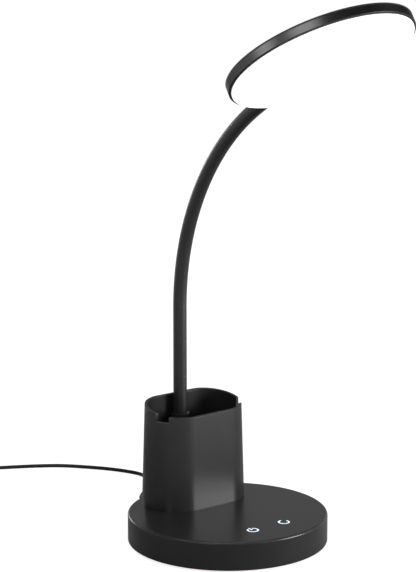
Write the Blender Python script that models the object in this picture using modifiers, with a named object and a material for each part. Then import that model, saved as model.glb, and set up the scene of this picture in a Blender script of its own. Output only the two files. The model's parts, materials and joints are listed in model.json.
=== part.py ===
"""Desk lamp: a weighted round base, a pen cup with a phone slot, a flexible neck and a round light head.

Metres, +Z up. The origin is the middle of the base, on the table. The lamp's front is -Y.
"""
import math

import bmesh
import bpy
import numpy as np
from mathutils import Vector

# Fits shared by every piece
GAP = 0.0003
OVERRUN = 0.0020
MERGE = 0.00001
BIG_STEPS = 48
SMALL_STEPS = 24
FILLET_STEPS = 3

# Base
BASE_RADIUS = 0.0700
BASE_TOP_Z = 0.0210
BASE_EDGE_Z = 0.0010
BASE_WALL = 0.0022
BASE_TOP_FILLET = 0.0016
BASE_EDGE_FILLET = 0.0010
PAD_MARGIN = 0.0058
PAD_THICKNESS = 0.0015
PAD_LIP = 0.0006
PLATE_THICKNESS = 0.0030
WEIGHT_MARGIN = 0.0078
WEIGHT_THICKNESS = 0.0050

# Base screws and the posts that they hold
POST_MARGIN = 0.0120
POST_ANGLE = math.radians(35)
POST_RADIUS = 0.0035
BASE_SCREW_RADIUS = 0.0015
BASE_SCREW_HEAD_RADIUS = 0.0030
BASE_SCREW_HEAD_HEIGHT = 0.0016
BASE_SCREW_LENGTH = 0.0110
SCREW_ACCESS_RADIUS = 0.0040

# Touch icons, their light guides and the control board
ICON_X = 0.0140
ICON_SETBACK = 0.0263
ICON_RADIUS = 0.0036
ICON_STROKE = 0.0011
POWER_OPENING = math.radians(70)
POWER_BAR_BOTTOM = 0.0007
POWER_BAR_TOP = 0.0044
MODE_OPENING = math.radians(74)
MODE_TURN = math.radians(50)
GUIDE_RADIUS = 0.0060
GUIDE_THICKNESS = 0.0015
BOARD_END = 0.0040
BOARD_WIDTH = 0.0200
BOARD_THICKNESS = 0.0016
BOARD_CORNER = 0.0030
BOARD_DROP = 0.0043
PEG_MARGIN = 0.0015
PEG_RADIUS = 0.0025
BOARD_SCREW_RADIUS = 0.0010
BOARD_SCREW_HEAD_RADIUS = 0.0022
BOARD_SCREW_HEAD_HEIGHT = 0.0013
BOARD_SCREW_LENGTH = 0.0040
SPRING_WIRE_RADIUS = 0.0003
SPRING_FOOT_RADIUS = 0.0042
SPRING_TIP_RADIUS = 0.0022
SPRING_TURNS = 2.5
SPRING_POINTS_PER_TURN = 12

# Pen cup
CUP_SETBACK = 0.0078
CUP_HALF_STRAIGHT = 0.0162
CUP_END_RADIUS = 0.0239
CUP_DRAFT = math.radians(1.76)
CUP_WALL = 0.0020
CUP_FLOOR = 0.0034
CUP_FRONT_HEIGHT = 0.0662
CUP_RIM_SLOPE = math.radians(9.5)
CUP_END_STEPS = 18
SLOT_SETBACK = 0.0096
SLOT_WIDTH = 0.0088
SLOT_DEPTH = 0.0050
NECK_BOSS_WALL = 0.0013
NECK_BOSS_TAPER = 0.0006
NECK_BOSS_HEIGHT = 0.0600
CUP_SCREW_X = 0.0220
CUP_SCREW_RADIUS = 0.0015
CUP_SCREW_HEAD_RADIUS = 0.0030
CUP_SCREW_HEAD_HEIGHT = 0.0018
CUP_SCREW_BITE = 0.0022

# Flexible neck: ball-ended links on one arc
NECK_SETBACK = 0.0150
NECK_RADIUS = 0.00485
NECK_BALL_STEP = 0.00115
NECK_FIRST_JOINT_Z = 0.1080
NECK_STRAIGHT_TOP_Z = 0.1580
NECK_BEND_RADIUS = 0.1750
NECK_JOINTS = 10
NECK_DOME_STEPS = 3
NECK_THREAD_STEP = 0.00135
NECK_THREAD_LENGTH = 0.0062
NUT_ACROSS_FLATS = 0.0120
NUT_HEIGHT = 0.0040
WASHER_RADIUS = 0.0080
WASHER_THICKNESS = 0.0010

# Light head
HEAD_TILT = math.radians(32.1)
HEAD_RADIUS = 0.0634
HEAD_BACK_THICKNESS = 0.0012
HEAD_BACK_FILLET = 0.0005
HEAD_RIM_HEIGHT = 0.0055
HEAD_RIM_WALL = 0.0011
HEAD_RIM_FILLET = 0.0002
HEAD_LEDGE_WIDTH = 0.0022
HEAD_LEDGE_HEIGHT = 0.0010
DIFFUSER_THICKNESS = 0.0018
DIFFUSER_LIP = 0.0006
DIFFUSER_LIP_SETBACK = 0.0002
DIFFUSER_FILLET = 0.0004
LED_BOARD_MARGIN = 0.0041
LED_BOARD_THICKNESS = 0.0010
LED_NOTCH_MARGIN = 0.0024
LED_SIZE = 0.0028
LED_HEIGHT = 0.0008
LED_RING_RADII_SHARES = (0.40, 0.80)
LED_RING_COUNTS = (6, 12)
NECK_REACH = 0.0100
SPIGOT_STEP = 0.00105
SPIGOT_LENGTH = 0.0190
BUMP_WALL = 0.0023
BUMP_LENGTH = 0.0240
NECK_SCREW_SHAFT_RADIUS = 0.0010
NECK_SCREW_HEAD_RADIUS = 0.0020
NECK_SCREW_HEAD_HEIGHT = 0.0009
NECK_SCREW_DEPTH = 0.0040
NECK_SCREW_SHARES = (0.30, 0.72)

# Cord, its grommet, coil, tie and plug
CORD_RADIUS = 0.0014
CORD_REST_Z = 0.0015
CORD_EXIT_Z = 0.0090
GROMMET_HOLE_RADIUS = 0.0028
GROMMET_FLANGE_RADIUS = 0.0036
GROMMET_FLANGE_THICKNESS = 0.0014
GROMMET_ROOT_RADIUS = 0.0034
GROMMET_TIP_RADIUS = 0.0021
GROMMET_LENGTH = 0.0170
GROMMET_RING_DEPTH = 0.0004
GROMMET_RINGS = 4
CORD_STEP = 0.0070
COIL_TURNS = 9
COIL_LAYERS = 4
COIL_MEAN_RADIUS = 0.0156
COIL_TURN_PITCH = 0.00325
COIL_LAYER_PITCH = 0.0033
COIL_POINTS_PER_TURN = 24
COIL_ENTRY = (-0.0568, 0.2623)
COIL_ENTRY_HEADING = math.radians(150.6)
COIL_EXIT_HEADING = math.radians(270)
TIE_THICKNESS = 0.0008
TIE_WIDTH = 0.0060
TIE_ROUNDING = 0.0020
TIE_TURN = math.radians(-30)
TAIL_LENGTH = 0.0280
PLUG_BOOT_LENGTH = 0.0100
PLUG_BOOT_TIP_RADIUS = 0.0021
PLUG_BOOT_ROOT_RADIUS = 0.0031
PLUG_BODY_LENGTH = 0.0230
PLUG_BODY_WIDTH = 0.0150
PLUG_BODY_HEIGHT = 0.0078
PLUG_BODY_ROUNDING = 0.0022
PLUG_SHELL_LENGTH = 0.0120
PLUG_SHELL_WIDTH = 0.0120
PLUG_SHELL_HEIGHT = 0.0045
PLUG_SHELL_WALL = 0.0004
PLUG_SEAT_DEPTH = 0.0040
PLUG_TONGUE_THICKNESS = 0.0018
PLUG_TONGUE_SETBACK = 0.0012

# The free cord's route on the table, chosen by hand, from the grommet to the coil
CORD_ROUTE = (
    (0.0002, 0.0925, 0.0088),
    (0.0018, 0.1000, 0.0066),
    (0.0062, 0.1085, 0.0035),
    (0.0135, 0.1170, 0.0018),
    (0.0240, 0.1262, 0.0015),
    (0.0345, 0.1363, 0.0015),
    (0.0430, 0.1480, 0.0015),
    (0.0466, 0.1610, 0.0015),
    (0.0433, 0.1745, 0.0015),
    (0.0356, 0.1900, 0.0015),
    (0.0245, 0.2060, 0.0015),
    (0.0120, 0.2205, 0.0015),
    (-0.0020, 0.2310, 0.0015),
    (-0.0150, 0.2388, 0.0015),
    (-0.0280, 0.2460, 0.0015),
    (-0.0420, 0.2538, 0.0020),
)

# Places that follow from the sizes above
NECK_END_ANGLE = math.pi / 2 - HEAD_TILT
NECK_LENGTH = NECK_STRAIGHT_TOP_Z - NECK_FIRST_JOINT_Z + NECK_BEND_RADIUS * NECK_END_ANGLE
BASE_UNDER_TOP_Z = BASE_TOP_Z - BASE_WALL
BASE_INNER_RADIUS = BASE_RADIUS - BASE_WALL
PAD_RADIUS = BASE_INNER_RADIUS - PAD_MARGIN
WEIGHT_RADIUS = BASE_INNER_RADIUS - WEIGHT_MARGIN
POST_X = (WEIGHT_RADIUS - POST_MARGIN) * math.cos(POST_ANGLE)
POST_Y = (WEIGHT_RADIUS - POST_MARGIN) * math.sin(POST_ANGLE)
ICON_Y = ICON_SETBACK - BASE_RADIUS
PEG_X = ICON_X + GUIDE_RADIUS + PEG_MARGIN + PEG_RADIUS
BOARD_LENGTH = 2 * (PEG_X + BOARD_END)
CUP_Y = BASE_RADIUS - CUP_SETBACK - CUP_END_RADIUS
NECK_Y = CUP_Y + NECK_SETBACK
NECK_BALL_RADIUS = NECK_RADIUS + NECK_BALL_STEP
NECK_THREAD_RADIUS = NECK_RADIUS - NECK_THREAD_STEP
SPIGOT_RADIUS = NECK_RADIUS - SPIGOT_STEP
BUMP_RADIUS = SPIGOT_RADIUS + GAP + BUMP_WALL
DIFFUSER_PROUD = GAP + DIFFUSER_LIP
HEAD_HOLLOW = HEAD_BACK_THICKNESS + GAP + HEAD_RIM_HEIGHT + DIFFUSER_PROUD - DIFFUSER_THICKNESS
NECK_DROP = HEAD_HOLLOW - GAP - SPIGOT_RADIUS
LED_NOTCH_HALF_WIDTH = SPIGOT_RADIUS + LED_NOTCH_MARGIN
LED_BOARD_RADIUS = HEAD_RADIUS - HEAD_RIM_WALL - HEAD_LEDGE_WIDTH - LED_BOARD_MARGIN
PLATE_BOTTOM_Z = PAD_THICKNESS + GAP
PLATE_TOP_Z = PLATE_BOTTOM_Z + PLATE_THICKNESS
WEIGHT_BOTTOM_Z = PLATE_TOP_Z + GAP
WEIGHT_TOP_Z = WEIGHT_BOTTOM_Z + WEIGHT_THICKNESS
GUIDE_TOP_Z = BASE_UNDER_TOP_Z - GAP
GUIDE_BOTTOM_Z = GUIDE_TOP_Z - GUIDE_THICKNESS
BOARD_TOP_Z = BASE_UNDER_TOP_Z - BOARD_DROP - GAP
BOARD_BOTTOM_Z = BOARD_TOP_Z - BOARD_THICKNESS
CUP_BOTTOM_Z = BASE_TOP_Z + GAP
CUP_FLOOR_TOP_Z = CUP_BOTTOM_Z + CUP_FLOOR
CUP_FRONT_Y = CUP_Y - CUP_END_RADIUS
CUP_TALLEST = CUP_FRONT_HEIGHT + 2 * CUP_END_RADIUS * math.tan(CUP_RIM_SLOPE) + OVERRUN
TABLE_GAP = CORD_REST_Z - CORD_RADIUS
COIL_REST_Z = TABLE_GAP + TIE_THICKNESS + GAP + CORD_RADIUS
PLUG_REST_Z = TABLE_GAP + PLUG_BODY_HEIGHT / 2

for old in list(bpy.data.objects):
    bpy.data.objects.remove(old, do_unlink=True)
lamp = bpy.data.collections.new("desk_lamp")
cutters = bpy.data.collections.new("cutters")
bpy.context.scene.collection.children.link(lamp)
bpy.context.scene.collection.children.link(cutters)


def material(name, colour, roughness, metallic=0.0):
    made = bpy.data.materials.new(name)
    made.use_nodes = True
    shader = made.node_tree.nodes["Principled BSDF"]
    shader.inputs["Base Color"].default_value = (*colour, 1.0)
    shader.inputs["Roughness"].default_value = roughness
    shader.inputs["Metallic"].default_value = metallic
    return made


SATIN_BLACK = material("satin_black_plastic", (0.035, 0.035, 0.037), 0.38)
SOFT_BLACK = material("soft_black_silicone", (0.020, 0.020, 0.021), 0.55)
RUBBER = material("pad_rubber", (0.030, 0.030, 0.030), 0.85)
STEEL = material("zinc_plated_steel", (0.62, 0.62, 0.60), 0.35, 1.0)
CAST_WEIGHT = material("blackened_steel", (0.16, 0.16, 0.17), 0.60, 1.0)
DARK_METAL = material("dark_brushed_metal", (0.09, 0.09, 0.10), 0.35, 0.9)
OPAL = material("opal_diffuser", (0.95, 0.96, 0.97), 0.45)
GUIDE_CLEAR = material("icon_light_guide", (0.85, 0.92, 1.00), 0.30)
BOARD_GREEN = material("circuit_board", (0.03, 0.20, 0.08), 0.50)
BOARD_WHITE = material("white_led_board", (0.88, 0.88, 0.86), 0.45)
CORD_BLACK = material("cord_jacket", (0.018, 0.018, 0.018), 0.50)
CONTACT_WHITE = material("contact_insulator", (0.80, 0.80, 0.78), 0.50)


def as_part(piece, finish, parent=None):
    """Puts a piece in the lamp's collection with its own material."""
    lamp.objects.link(piece)
    piece.data.materials.append(finish)
    piece.parent = parent
    return piece


def as_cutter(piece, parent=None):
    """Keeps a shape that only cuts or joins out of the lamp."""
    cutters.objects.link(piece)
    piece.hide_render = True
    piece.display_type = "WIRE"
    piece.parent = parent
    return piece


def combine(piece, tool, operation="DIFFERENCE"):
    boolean = piece.modifiers.new(tool.name, "BOOLEAN")
    boolean.operation = operation
    boolean.solver = "EXACT"
    boolean.object = tool
    return piece


def arc(middle_u, middle_v, radius, start, end, steps):
    angles = np.linspace(start, end, steps + 1)
    return [(middle_u + radius * math.cos(a), middle_v + radius * math.sin(a)) for a in angles]


def filleted(corners, closed):
    """Rounds the corners (u, v, radius) of a profile; a corner with radius 0 stays sharp."""
    points = []
    count = len(corners)
    for i, (u, v, radius) in enumerate(corners):
        at_end = not closed and i in (0, count - 1)
        if radius == 0 or at_end:
            points.append((u, v))
            continue
        here = Vector((u, v))
        back = (Vector(corners[i - 1][:2]) - here).normalized()
        ahead = (Vector(corners[(i + 1) % count][:2]) - here).normalized()
        half = back.angle(ahead) / 2
        centre = here + (back + ahead).normalized() * (radius / math.sin(half))
        first = here + back * (radius / math.tan(half)) - centre
        sweep = first.angle_signed(here + ahead * (radius / math.tan(half)) - centre)
        start = math.atan2(first.y, first.x)
        points += arc(centre.x, centre.y, radius, start, start - sweep, FILLET_STEPS)
    return points


def turned(name, profile, closed=False, steps=SMALL_STEPS):
    """A profile of (radius, height), outer side running down, turned about Z by a Screw modifier."""
    mesh = bpy.data.meshes.new(name)
    points = [(radius, 0, height) for radius, height in profile]
    edges = [(i, i + 1) for i in range(len(points) - 1)]
    if closed:
        edges.append((len(points) - 1, 0))
    mesh.from_pydata(points, edges, [])
    piece = bpy.data.objects.new(name, mesh)
    screw = piece.modifiers.new("turn", "SCREW")
    screw.axis = "Z"
    screw.angle = 2 * math.pi
    screw.steps = steps
    screw.render_steps = steps
    screw.use_merge_vertices = True
    screw.merge_threshold = MERGE
    screw.use_smooth_shade = True
    return piece


def cylinder(name, radius, bottom, top, x=0.0, y=0.0, steps=SMALL_STEPS, taper=0.0):
    """An upright cylinder primitive between two heights, narrower at its top by the taper."""
    body = bmesh.new()
    bmesh.ops.create_cone(
        body, cap_ends=True, segments=steps, radius1=radius, radius2=radius - taper, depth=top - bottom
    )
    mesh = bpy.data.meshes.new(name)
    body.to_mesh(mesh)
    body.free()
    piece = bpy.data.objects.new(name, mesh)
    piece.location = (x, y, (top + bottom) / 2)
    return piece


def block(name, low, high):
    """A box primitive between two corners."""
    body = bmesh.new()
    bmesh.ops.create_cube(body, size=1)
    bmesh.ops.scale(body, vec=Vector(high) - Vector(low), verts=body.verts)
    mesh = bpy.data.meshes.new(name)
    body.to_mesh(mesh)
    body.free()
    piece = bpy.data.objects.new(name, mesh)
    piece.location = (Vector(low) + Vector(high)) / 2
    return piece


def plate(name, outlines, bottom, top, x=0.0, y=0.0):
    """Flat outlines, filled as a 2D curve, extruded between two heights and made a mesh."""
    flat = bpy.data.curves.new(name, "CURVE")
    flat.dimensions = "2D"
    flat.fill_mode = "BOTH"
    flat.extrude = (top - bottom) / 2
    for outline in outlines:
        spline = flat.splines.new("POLY")
        spline.points.add(len(outline) - 1)
        for point, (u, v) in zip(spline.points, outline):
            point.co = (u, v, 0, 1)
        spline.use_cyclic_u = True
    guide = bpy.data.objects.new(name + "_outline", flat)
    bpy.context.scene.collection.objects.link(guide)
    guide.location = (x, y, (top + bottom) / 2)
    return solid_from(guide, name)


def solid_from(guide, name):
    """A mesh object from a curve object, with its caps welded."""
    bpy.context.view_layer.update()
    ready = guide.evaluated_get(bpy.context.evaluated_depsgraph_get())
    mesh = bpy.data.meshes.new_from_object(ready)
    welded = bmesh.new()
    welded.from_mesh(mesh)
    bmesh.ops.remove_doubles(welded, verts=welded.verts, dist=MERGE)
    bmesh.ops.recalc_face_normals(welded, faces=welded.faces)
    welded.to_mesh(mesh)
    welded.free()
    mesh.name = name
    piece = bpy.data.objects.new(name, mesh)
    piece.matrix_world = guide.matrix_world.copy()
    bpy.data.objects.remove(guide, do_unlink=True)
    return piece


def tube(name, points, radius, resolution=2):
    """A round cord or wire along points, with filled ends."""
    line = bpy.data.curves.new(name, "CURVE")
    line.dimensions = "3D"
    line.bevel_depth = radius
    line.bevel_resolution = resolution
    line.use_fill_caps = True
    spline = line.splines.new("POLY")
    spline.points.add(len(points) - 1)
    for point, place in zip(spline.points, points):
        point.co = (*place, 1)
    return bpy.data.objects.new(name, line)


def stadium(half_straight, radius):
    """A round-ended outline, long along X."""
    right = arc(half_straight, 0, radius, -math.pi / 2, math.pi / 2, CUP_END_STEPS)
    left = arc(-half_straight, 0, radius, math.pi / 2, 3 * math.pi / 2, CUP_END_STEPS)
    return right + left


def loft(name, rings):
    """A closed body through rings of equal point count, lowest first."""
    body = bmesh.new()
    loops = [[body.verts.new(point) for point in ring] for ring in rings]
    count = len(loops[0])
    for low, high in zip(loops, loops[1:]):
        for i in range(count):
            ahead = (i + 1) % count
            body.faces.new((low[i], low[ahead], high[ahead], high[i]))
    body.faces.new(list(reversed(loops[0])))
    body.faces.new(loops[-1])
    mesh = bpy.data.meshes.new(name)
    body.to_mesh(mesh)
    body.free()
    return bpy.data.objects.new(name, mesh)


def screw_profile(head_radius, head_height, shaft_radius, length):
    """A pan-head screw pointing up, with its head's bearing face at height 0."""
    top = length
    return [
        (0, top),
        (shaft_radius, top - shaft_radius),
        (shaft_radius, 0),
        (head_radius, 0),
        (head_radius, -head_height / 2),
        (head_radius * math.cos(math.pi / 6), -head_height),
        (0, -head_height),
    ]


def base_pieces():
    """The cover, bottom plate, steel weight, rubber pad and the screws between them."""
    corners = [
        (0, BASE_TOP_Z, 0),
        (BASE_RADIUS, BASE_TOP_Z, BASE_TOP_FILLET),
        (BASE_RADIUS, BASE_EDGE_Z, BASE_EDGE_FILLET),
        (BASE_INNER_RADIUS, BASE_EDGE_Z, 0),
        (BASE_INNER_RADIUS, BASE_UNDER_TOP_Z, 0),
        (0, BASE_UNDER_TOP_Z, 0),
    ]
    cover = as_part(turned("base_cover", filleted(corners, False), steps=BIG_STEPS), SATIN_BLACK)
    post_places = [(x, y) for x in (-POST_X, POST_X) for y in (-POST_Y, POST_Y)]
    post_root_z = BASE_TOP_Z - BASE_WALL / 2
    for i, (x, y) in enumerate(post_places):
        post = cylinder(f"post_{i}", POST_RADIUS, PLATE_TOP_Z + GAP, post_root_z, x, y)
        combine(cover, as_cutter(post), "UNION")
    peg_bottom_z = BASE_UNDER_TOP_Z - BOARD_DROP
    for i, x in enumerate((-PEG_X, PEG_X)):
        peg = cylinder(f"peg_{i}", PEG_RADIUS, peg_bottom_z, post_root_z, x, ICON_Y)
        combine(cover, as_cutter(peg), "UNION")
    for i, (x, y) in enumerate(post_places):
        pilot = cylinder(
            f"post_pilot_{i}",
            BASE_SCREW_RADIUS + GAP,
            PLATE_BOTTOM_Z,
            PLATE_TOP_Z + BASE_SCREW_LENGTH,
            x,
            y,
            steps=SMALL_STEPS // 2,
        )
        combine(cover, as_cutter(pilot))
    for i, x in enumerate((-PEG_X, PEG_X)):
        pilot = cylinder(
            f"peg_pilot_{i}",
            BOARD_SCREW_RADIUS + GAP,
            BOARD_BOTTOM_Z,
            BOARD_BOTTOM_Z + BOARD_SCREW_LENGTH + GAP,
            x,
            ICON_Y,
            steps=SMALL_STEPS // 2,
        )
        combine(cover, as_cutter(pilot))

    below, above = BASE_UNDER_TOP_Z - OVERRUN, BASE_TOP_Z + OVERRUN
    combine(cover, as_cutter(cylinder("neck_hole", NECK_THREAD_RADIUS + GAP, below, above, 0, NECK_Y)))
    for i, x in enumerate((-CUP_SCREW_X, CUP_SCREW_X)):
        hole = cylinder(f"cup_screw_hole_{i}", CUP_SCREW_RADIUS + GAP, below, above, x, CUP_Y)
        combine(cover, as_cutter(hole))
    for name, x, outlines in icon_outlines(ICON_STROKE + 2 * GAP):
        for i, outline in enumerate(outlines):
            slot = plate(f"{name}_slot_{i}", [outline], below, above, x, ICON_Y)
            combine(cover, as_cutter(slot))
    cord_hole = cylinder("cord_hole", GROMMET_HOLE_RADIUS, -BASE_WALL - OVERRUN, BASE_WALL + OVERRUN)
    cord_hole.rotation_euler.x = math.pi / 2
    cord_hole.location = (0, BASE_INNER_RADIUS, CORD_EXIT_Z)
    combine(cover, as_cutter(cord_hole))

    plate_radius = BASE_INNER_RADIUS - GAP
    recess_radius = PAD_RADIUS + GAP
    plate_corners = [
        (0, PLATE_TOP_Z),
        (plate_radius, PLATE_TOP_Z),
        (plate_radius, BASE_EDGE_Z),
        (recess_radius, BASE_EDGE_Z),
        (recess_radius, PLATE_BOTTOM_Z),
        (0, PLATE_BOTTOM_Z),
    ]
    bottom = as_part(turned("base_plate", plate_corners, steps=BIG_STEPS), SATIN_BLACK)
    pad_corners = [
        (0, PAD_THICKNESS, 0),
        (PAD_RADIUS, PAD_THICKNESS, 0),
        (PAD_RADIUS, 0, PAD_LIP),
        (0, 0, 0),
    ]
    pad = as_part(turned("foot_pad", filleted(pad_corners, False), steps=BIG_STEPS), RUBBER)
    weight = cylinder("weight_plate", WEIGHT_RADIUS, WEIGHT_BOTTOM_Z, WEIGHT_TOP_Z, steps=BIG_STEPS)
    as_part(weight, CAST_WEIGHT)
    head_seat_z = PLATE_BOTTOM_Z + BASE_SCREW_HEAD_HEIGHT + GAP
    for i, (x, y) in enumerate(post_places):
        sink = cylinder(
            f"plate_sink_{i}", SCREW_ACCESS_RADIUS, PLATE_BOTTOM_Z - OVERRUN, head_seat_z, x, y
        )
        combine(bottom, as_cutter(sink))
        hole = cylinder(
            f"plate_hole_{i}", BASE_SCREW_RADIUS + GAP, 0, PLATE_TOP_Z + OVERRUN, x, y, SMALL_STEPS // 2
        )
        combine(bottom, as_cutter(hole))
        access = cylinder(
            f"pad_hole_{i}", SCREW_ACCESS_RADIUS, -OVERRUN, PAD_THICKNESS + OVERRUN, x, y
        )
        combine(pad, as_cutter(access))
        room = cylinder(
            f"weight_hole_{i}",
            POST_RADIUS + GAP,
            WEIGHT_BOTTOM_Z - OVERRUN,
            WEIGHT_TOP_Z + OVERRUN,
            x,
            y,
        )
        combine(weight, as_cutter(room))
        profile = screw_profile(
            BASE_SCREW_HEAD_RADIUS, BASE_SCREW_HEAD_HEIGHT, BASE_SCREW_RADIUS, BASE_SCREW_LENGTH
        )
        driven = as_part(turned(f"base_screw_{i + 1}", profile, steps=SMALL_STEPS // 2), STEEL)
        driven.location = (x, y, head_seat_z - GAP)


def icon_outlines(stroke):
    """The power and mode symbols as (name, x, outlines), drawn with round-ended strokes."""
    quarter = math.pi / 2
    power_ring = stroke_outline(
        ICON_RADIUS, stroke, quarter + POWER_OPENING / 2, 5 * quarter - POWER_OPENING / 2
    )
    bar = arc(0, POWER_BAR_TOP, stroke / 2, 0, math.pi, FILLET_STEPS)
    bar += arc(0, POWER_BAR_BOTTOM, stroke / 2, math.pi, 2 * math.pi, FILLET_STEPS)
    mode_ring = stroke_outline(
        ICON_RADIUS, stroke, MODE_TURN + MODE_OPENING / 2, MODE_TURN - MODE_OPENING / 2 + 2 * math.pi
    )
    return (("power_icon", -ICON_X, (power_ring, bar)), ("mode_icon", ICON_X, (mode_ring,)))


def stroke_outline(radius, stroke, start, end):
    """The outline of a curved stroke with round ends, about the origin."""
    half = stroke / 2
    steps = SMALL_STEPS
    outer = arc(0, 0, radius + half, start, end, steps)
    inner = arc(0, 0, radius - half, end, start, steps)
    end_u, end_v = radius * math.cos(end), radius * math.sin(end)
    start_u, start_v = radius * math.cos(start), radius * math.sin(start)
    end_cap = arc(end_u, end_v, half, end, end + math.pi, FILLET_STEPS)[1:-1]
    start_cap = arc(start_u, start_v, half, start + math.pi, start + 2 * math.pi, FILLET_STEPS)[1:-1]
    return outer + end_cap + inner + start_cap


def touch_pieces():
    """The board under the touch icons, its light guides, springs and screws."""
    corners = [
        (-BOARD_LENGTH / 2, -BOARD_WIDTH / 2, BOARD_CORNER),
        (-BOARD_LENGTH / 2, BOARD_WIDTH / 2, BOARD_CORNER),
        (BOARD_LENGTH / 2, BOARD_WIDTH / 2, BOARD_CORNER),
        (BOARD_LENGTH / 2, -BOARD_WIDTH / 2, BOARD_CORNER),
    ]
    outline = filleted(corners, True)
    holes = [
        arc(x, 0, BOARD_SCREW_RADIUS + GAP, 0, 2 * math.pi, SMALL_STEPS // 2)[:-1]
        for x in (-PEG_X, PEG_X)
    ]
    board = plate("control_board", [outline, *holes], BOARD_BOTTOM_Z, BOARD_TOP_Z, 0, ICON_Y)
    as_part(board, BOARD_GREEN)
    for i, x in enumerate((-PEG_X, PEG_X)):
        profile = screw_profile(
            BOARD_SCREW_HEAD_RADIUS, BOARD_SCREW_HEAD_HEIGHT, BOARD_SCREW_RADIUS, BOARD_SCREW_LENGTH
        )
        driven = as_part(turned(f"board_screw_{i + 1}", profile, steps=SMALL_STEPS // 2), STEEL)
        driven.location = (x, ICON_Y, BOARD_BOTTOM_Z - GAP)
    for name, x, outlines in icon_outlines(ICON_STROKE):
        guide = cylinder(f"{name}_light", GUIDE_RADIUS, GUIDE_BOTTOM_Z, GUIDE_TOP_Z, x, ICON_Y)
        as_part(guide, GUIDE_CLEAR)
        for i, drawn in enumerate(outlines):
            raised = plate(
                f"{name}_raised_{i}", [drawn], GUIDE_TOP_Z - GUIDE_THICKNESS / 2, BASE_TOP_Z, x, ICON_Y
            )
            combine(guide, as_cutter(raised), "UNION")
        spring = tube(f"touch_spring_{name[:-5]}", spring_points(x), SPRING_WIRE_RADIUS, 1)
        as_part(spring, STEEL)


def spring_points(x):
    """A conical touch spring between the board and a light guide."""
    low = BOARD_TOP_Z + GAP + SPRING_WIRE_RADIUS
    high = GUIDE_BOTTOM_Z - GAP - SPRING_WIRE_RADIUS
    count = int(SPRING_TURNS * SPRING_POINTS_PER_TURN)
    points = []
    for i in range(count + 1):
        share = i / count
        angle = 2 * math.pi * SPRING_TURNS * share
        radius = SPRING_FOOT_RADIUS + (SPRING_TIP_RADIUS - SPRING_FOOT_RADIUS) * share
        place = (x + radius * math.cos(angle), ICON_Y + radius * math.sin(angle))
        points.append((*place, low + (high - low) * share))
    return points


def cup_ring(height, inset):
    """The cup's outline at a height above its foot, drawn in by its draft and an inset."""
    radius = CUP_END_RADIUS - height * math.tan(CUP_DRAFT) - inset
    return [(u, v, height) for u, v in stadium(CUP_HALF_STRAIGHT, radius)]


def cup_pieces():
    """The drafted cup with its slanted rim, phone slot and neck boss, and its two screws."""
    place = (0, CUP_Y, CUP_BOTTOM_Z)
    cup = as_part(loft("pen_cup", [cup_ring(0, 0), cup_ring(CUP_TALLEST, 0)]), SATIN_BLACK)
    cup.location = place
    room = loft("cup_room", [cup_ring(CUP_FLOOR, CUP_WALL), cup_ring(CUP_TALLEST + OVERRUN, CUP_WALL)])
    room.location = place
    combine(cup, as_cutter(room))
    boss_radius = NECK_RADIUS + GAP + NECK_BOSS_WALL + NECK_BOSS_TAPER
    boss_root_z = CUP_FLOOR_TOP_Z - CUP_FLOOR / 2
    boss_top_z = CUP_BOTTOM_Z + NECK_BOSS_HEIGHT
    boss = cylinder(
        "neck_boss", boss_radius, boss_root_z, boss_top_z, 0, NECK_Y, taper=NECK_BOSS_TAPER
    )
    combine(cup, as_cutter(boss), "UNION")
    above_rim_z = CUP_BOTTOM_Z + CUP_TALLEST + 2 * OVERRUN
    bore = cylinder("neck_bore", NECK_RADIUS + GAP, CUP_FLOOR_TOP_Z, above_rim_z, 0, NECK_Y)
    combine(cup, as_cutter(bore))
    thread_hole = cylinder(
        "neck_thread_hole",
        NECK_THREAD_RADIUS + GAP,
        CUP_BOTTOM_Z - OVERRUN,
        CUP_FLOOR_TOP_Z + OVERRUN,
        0,
        NECK_Y,
    )
    combine(cup, as_cutter(thread_hole))
    for i, x in enumerate((-CUP_SCREW_X, CUP_SCREW_X)):
        pilot = cylinder(
            f"cup_pilot_{i}",
            CUP_SCREW_RADIUS + GAP,
            CUP_BOTTOM_Z - OVERRUN,
            CUP_BOTTOM_Z + CUP_SCREW_BITE + GAP,
            x,
            CUP_Y,
        )
        combine(cup, as_cutter(pilot))
        grip = BASE_WALL + 2 * GAP + CUP_SCREW_BITE
        profile = screw_profile(
            CUP_SCREW_HEAD_RADIUS, CUP_SCREW_HEAD_HEIGHT, CUP_SCREW_RADIUS, grip
        )
        driven = as_part(turned(f"cup_screw_{i + 1}", profile, steps=SMALL_STEPS // 2), STEEL)
        driven.location = (x, CUP_Y, BASE_UNDER_TOP_Z - GAP)

    rim_front_z = CUP_BOTTOM_Z + CUP_FRONT_HEIGHT
    slope_top = block(
        "rim_slope",
        (-CUP_HALF_STRAIGHT - CUP_END_RADIUS - OVERRUN, -CUP_END_RADIUS, 0),
        (CUP_HALF_STRAIGHT + CUP_END_RADIUS + OVERRUN, 3 * CUP_END_RADIUS, CUP_TALLEST),
    )
    holder = bpy.data.objects.new("rim_plane", None)
    cutters.objects.link(holder)
    holder.location = (0, CUP_FRONT_Y, rim_front_z)
    holder.rotation_euler.x = CUP_RIM_SLOPE
    combine(cup, as_cutter(slope_top, holder))
    slot_y = CUP_Y - SLOT_SETBACK
    slot_floor_z = rim_front_z + (slot_y - CUP_FRONT_Y) * math.tan(CUP_RIM_SLOPE) - SLOT_DEPTH
    slot = block(
        "phone_slot",
        (-CUP_HALF_STRAIGHT - CUP_END_RADIUS - OVERRUN, slot_y - SLOT_WIDTH / 2, slot_floor_z),
        (CUP_HALF_STRAIGHT + CUP_END_RADIUS + OVERRUN, slot_y + SLOT_WIDTH / 2, above_rim_z),
    )
    combine(cup, as_cutter(slot))


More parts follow.
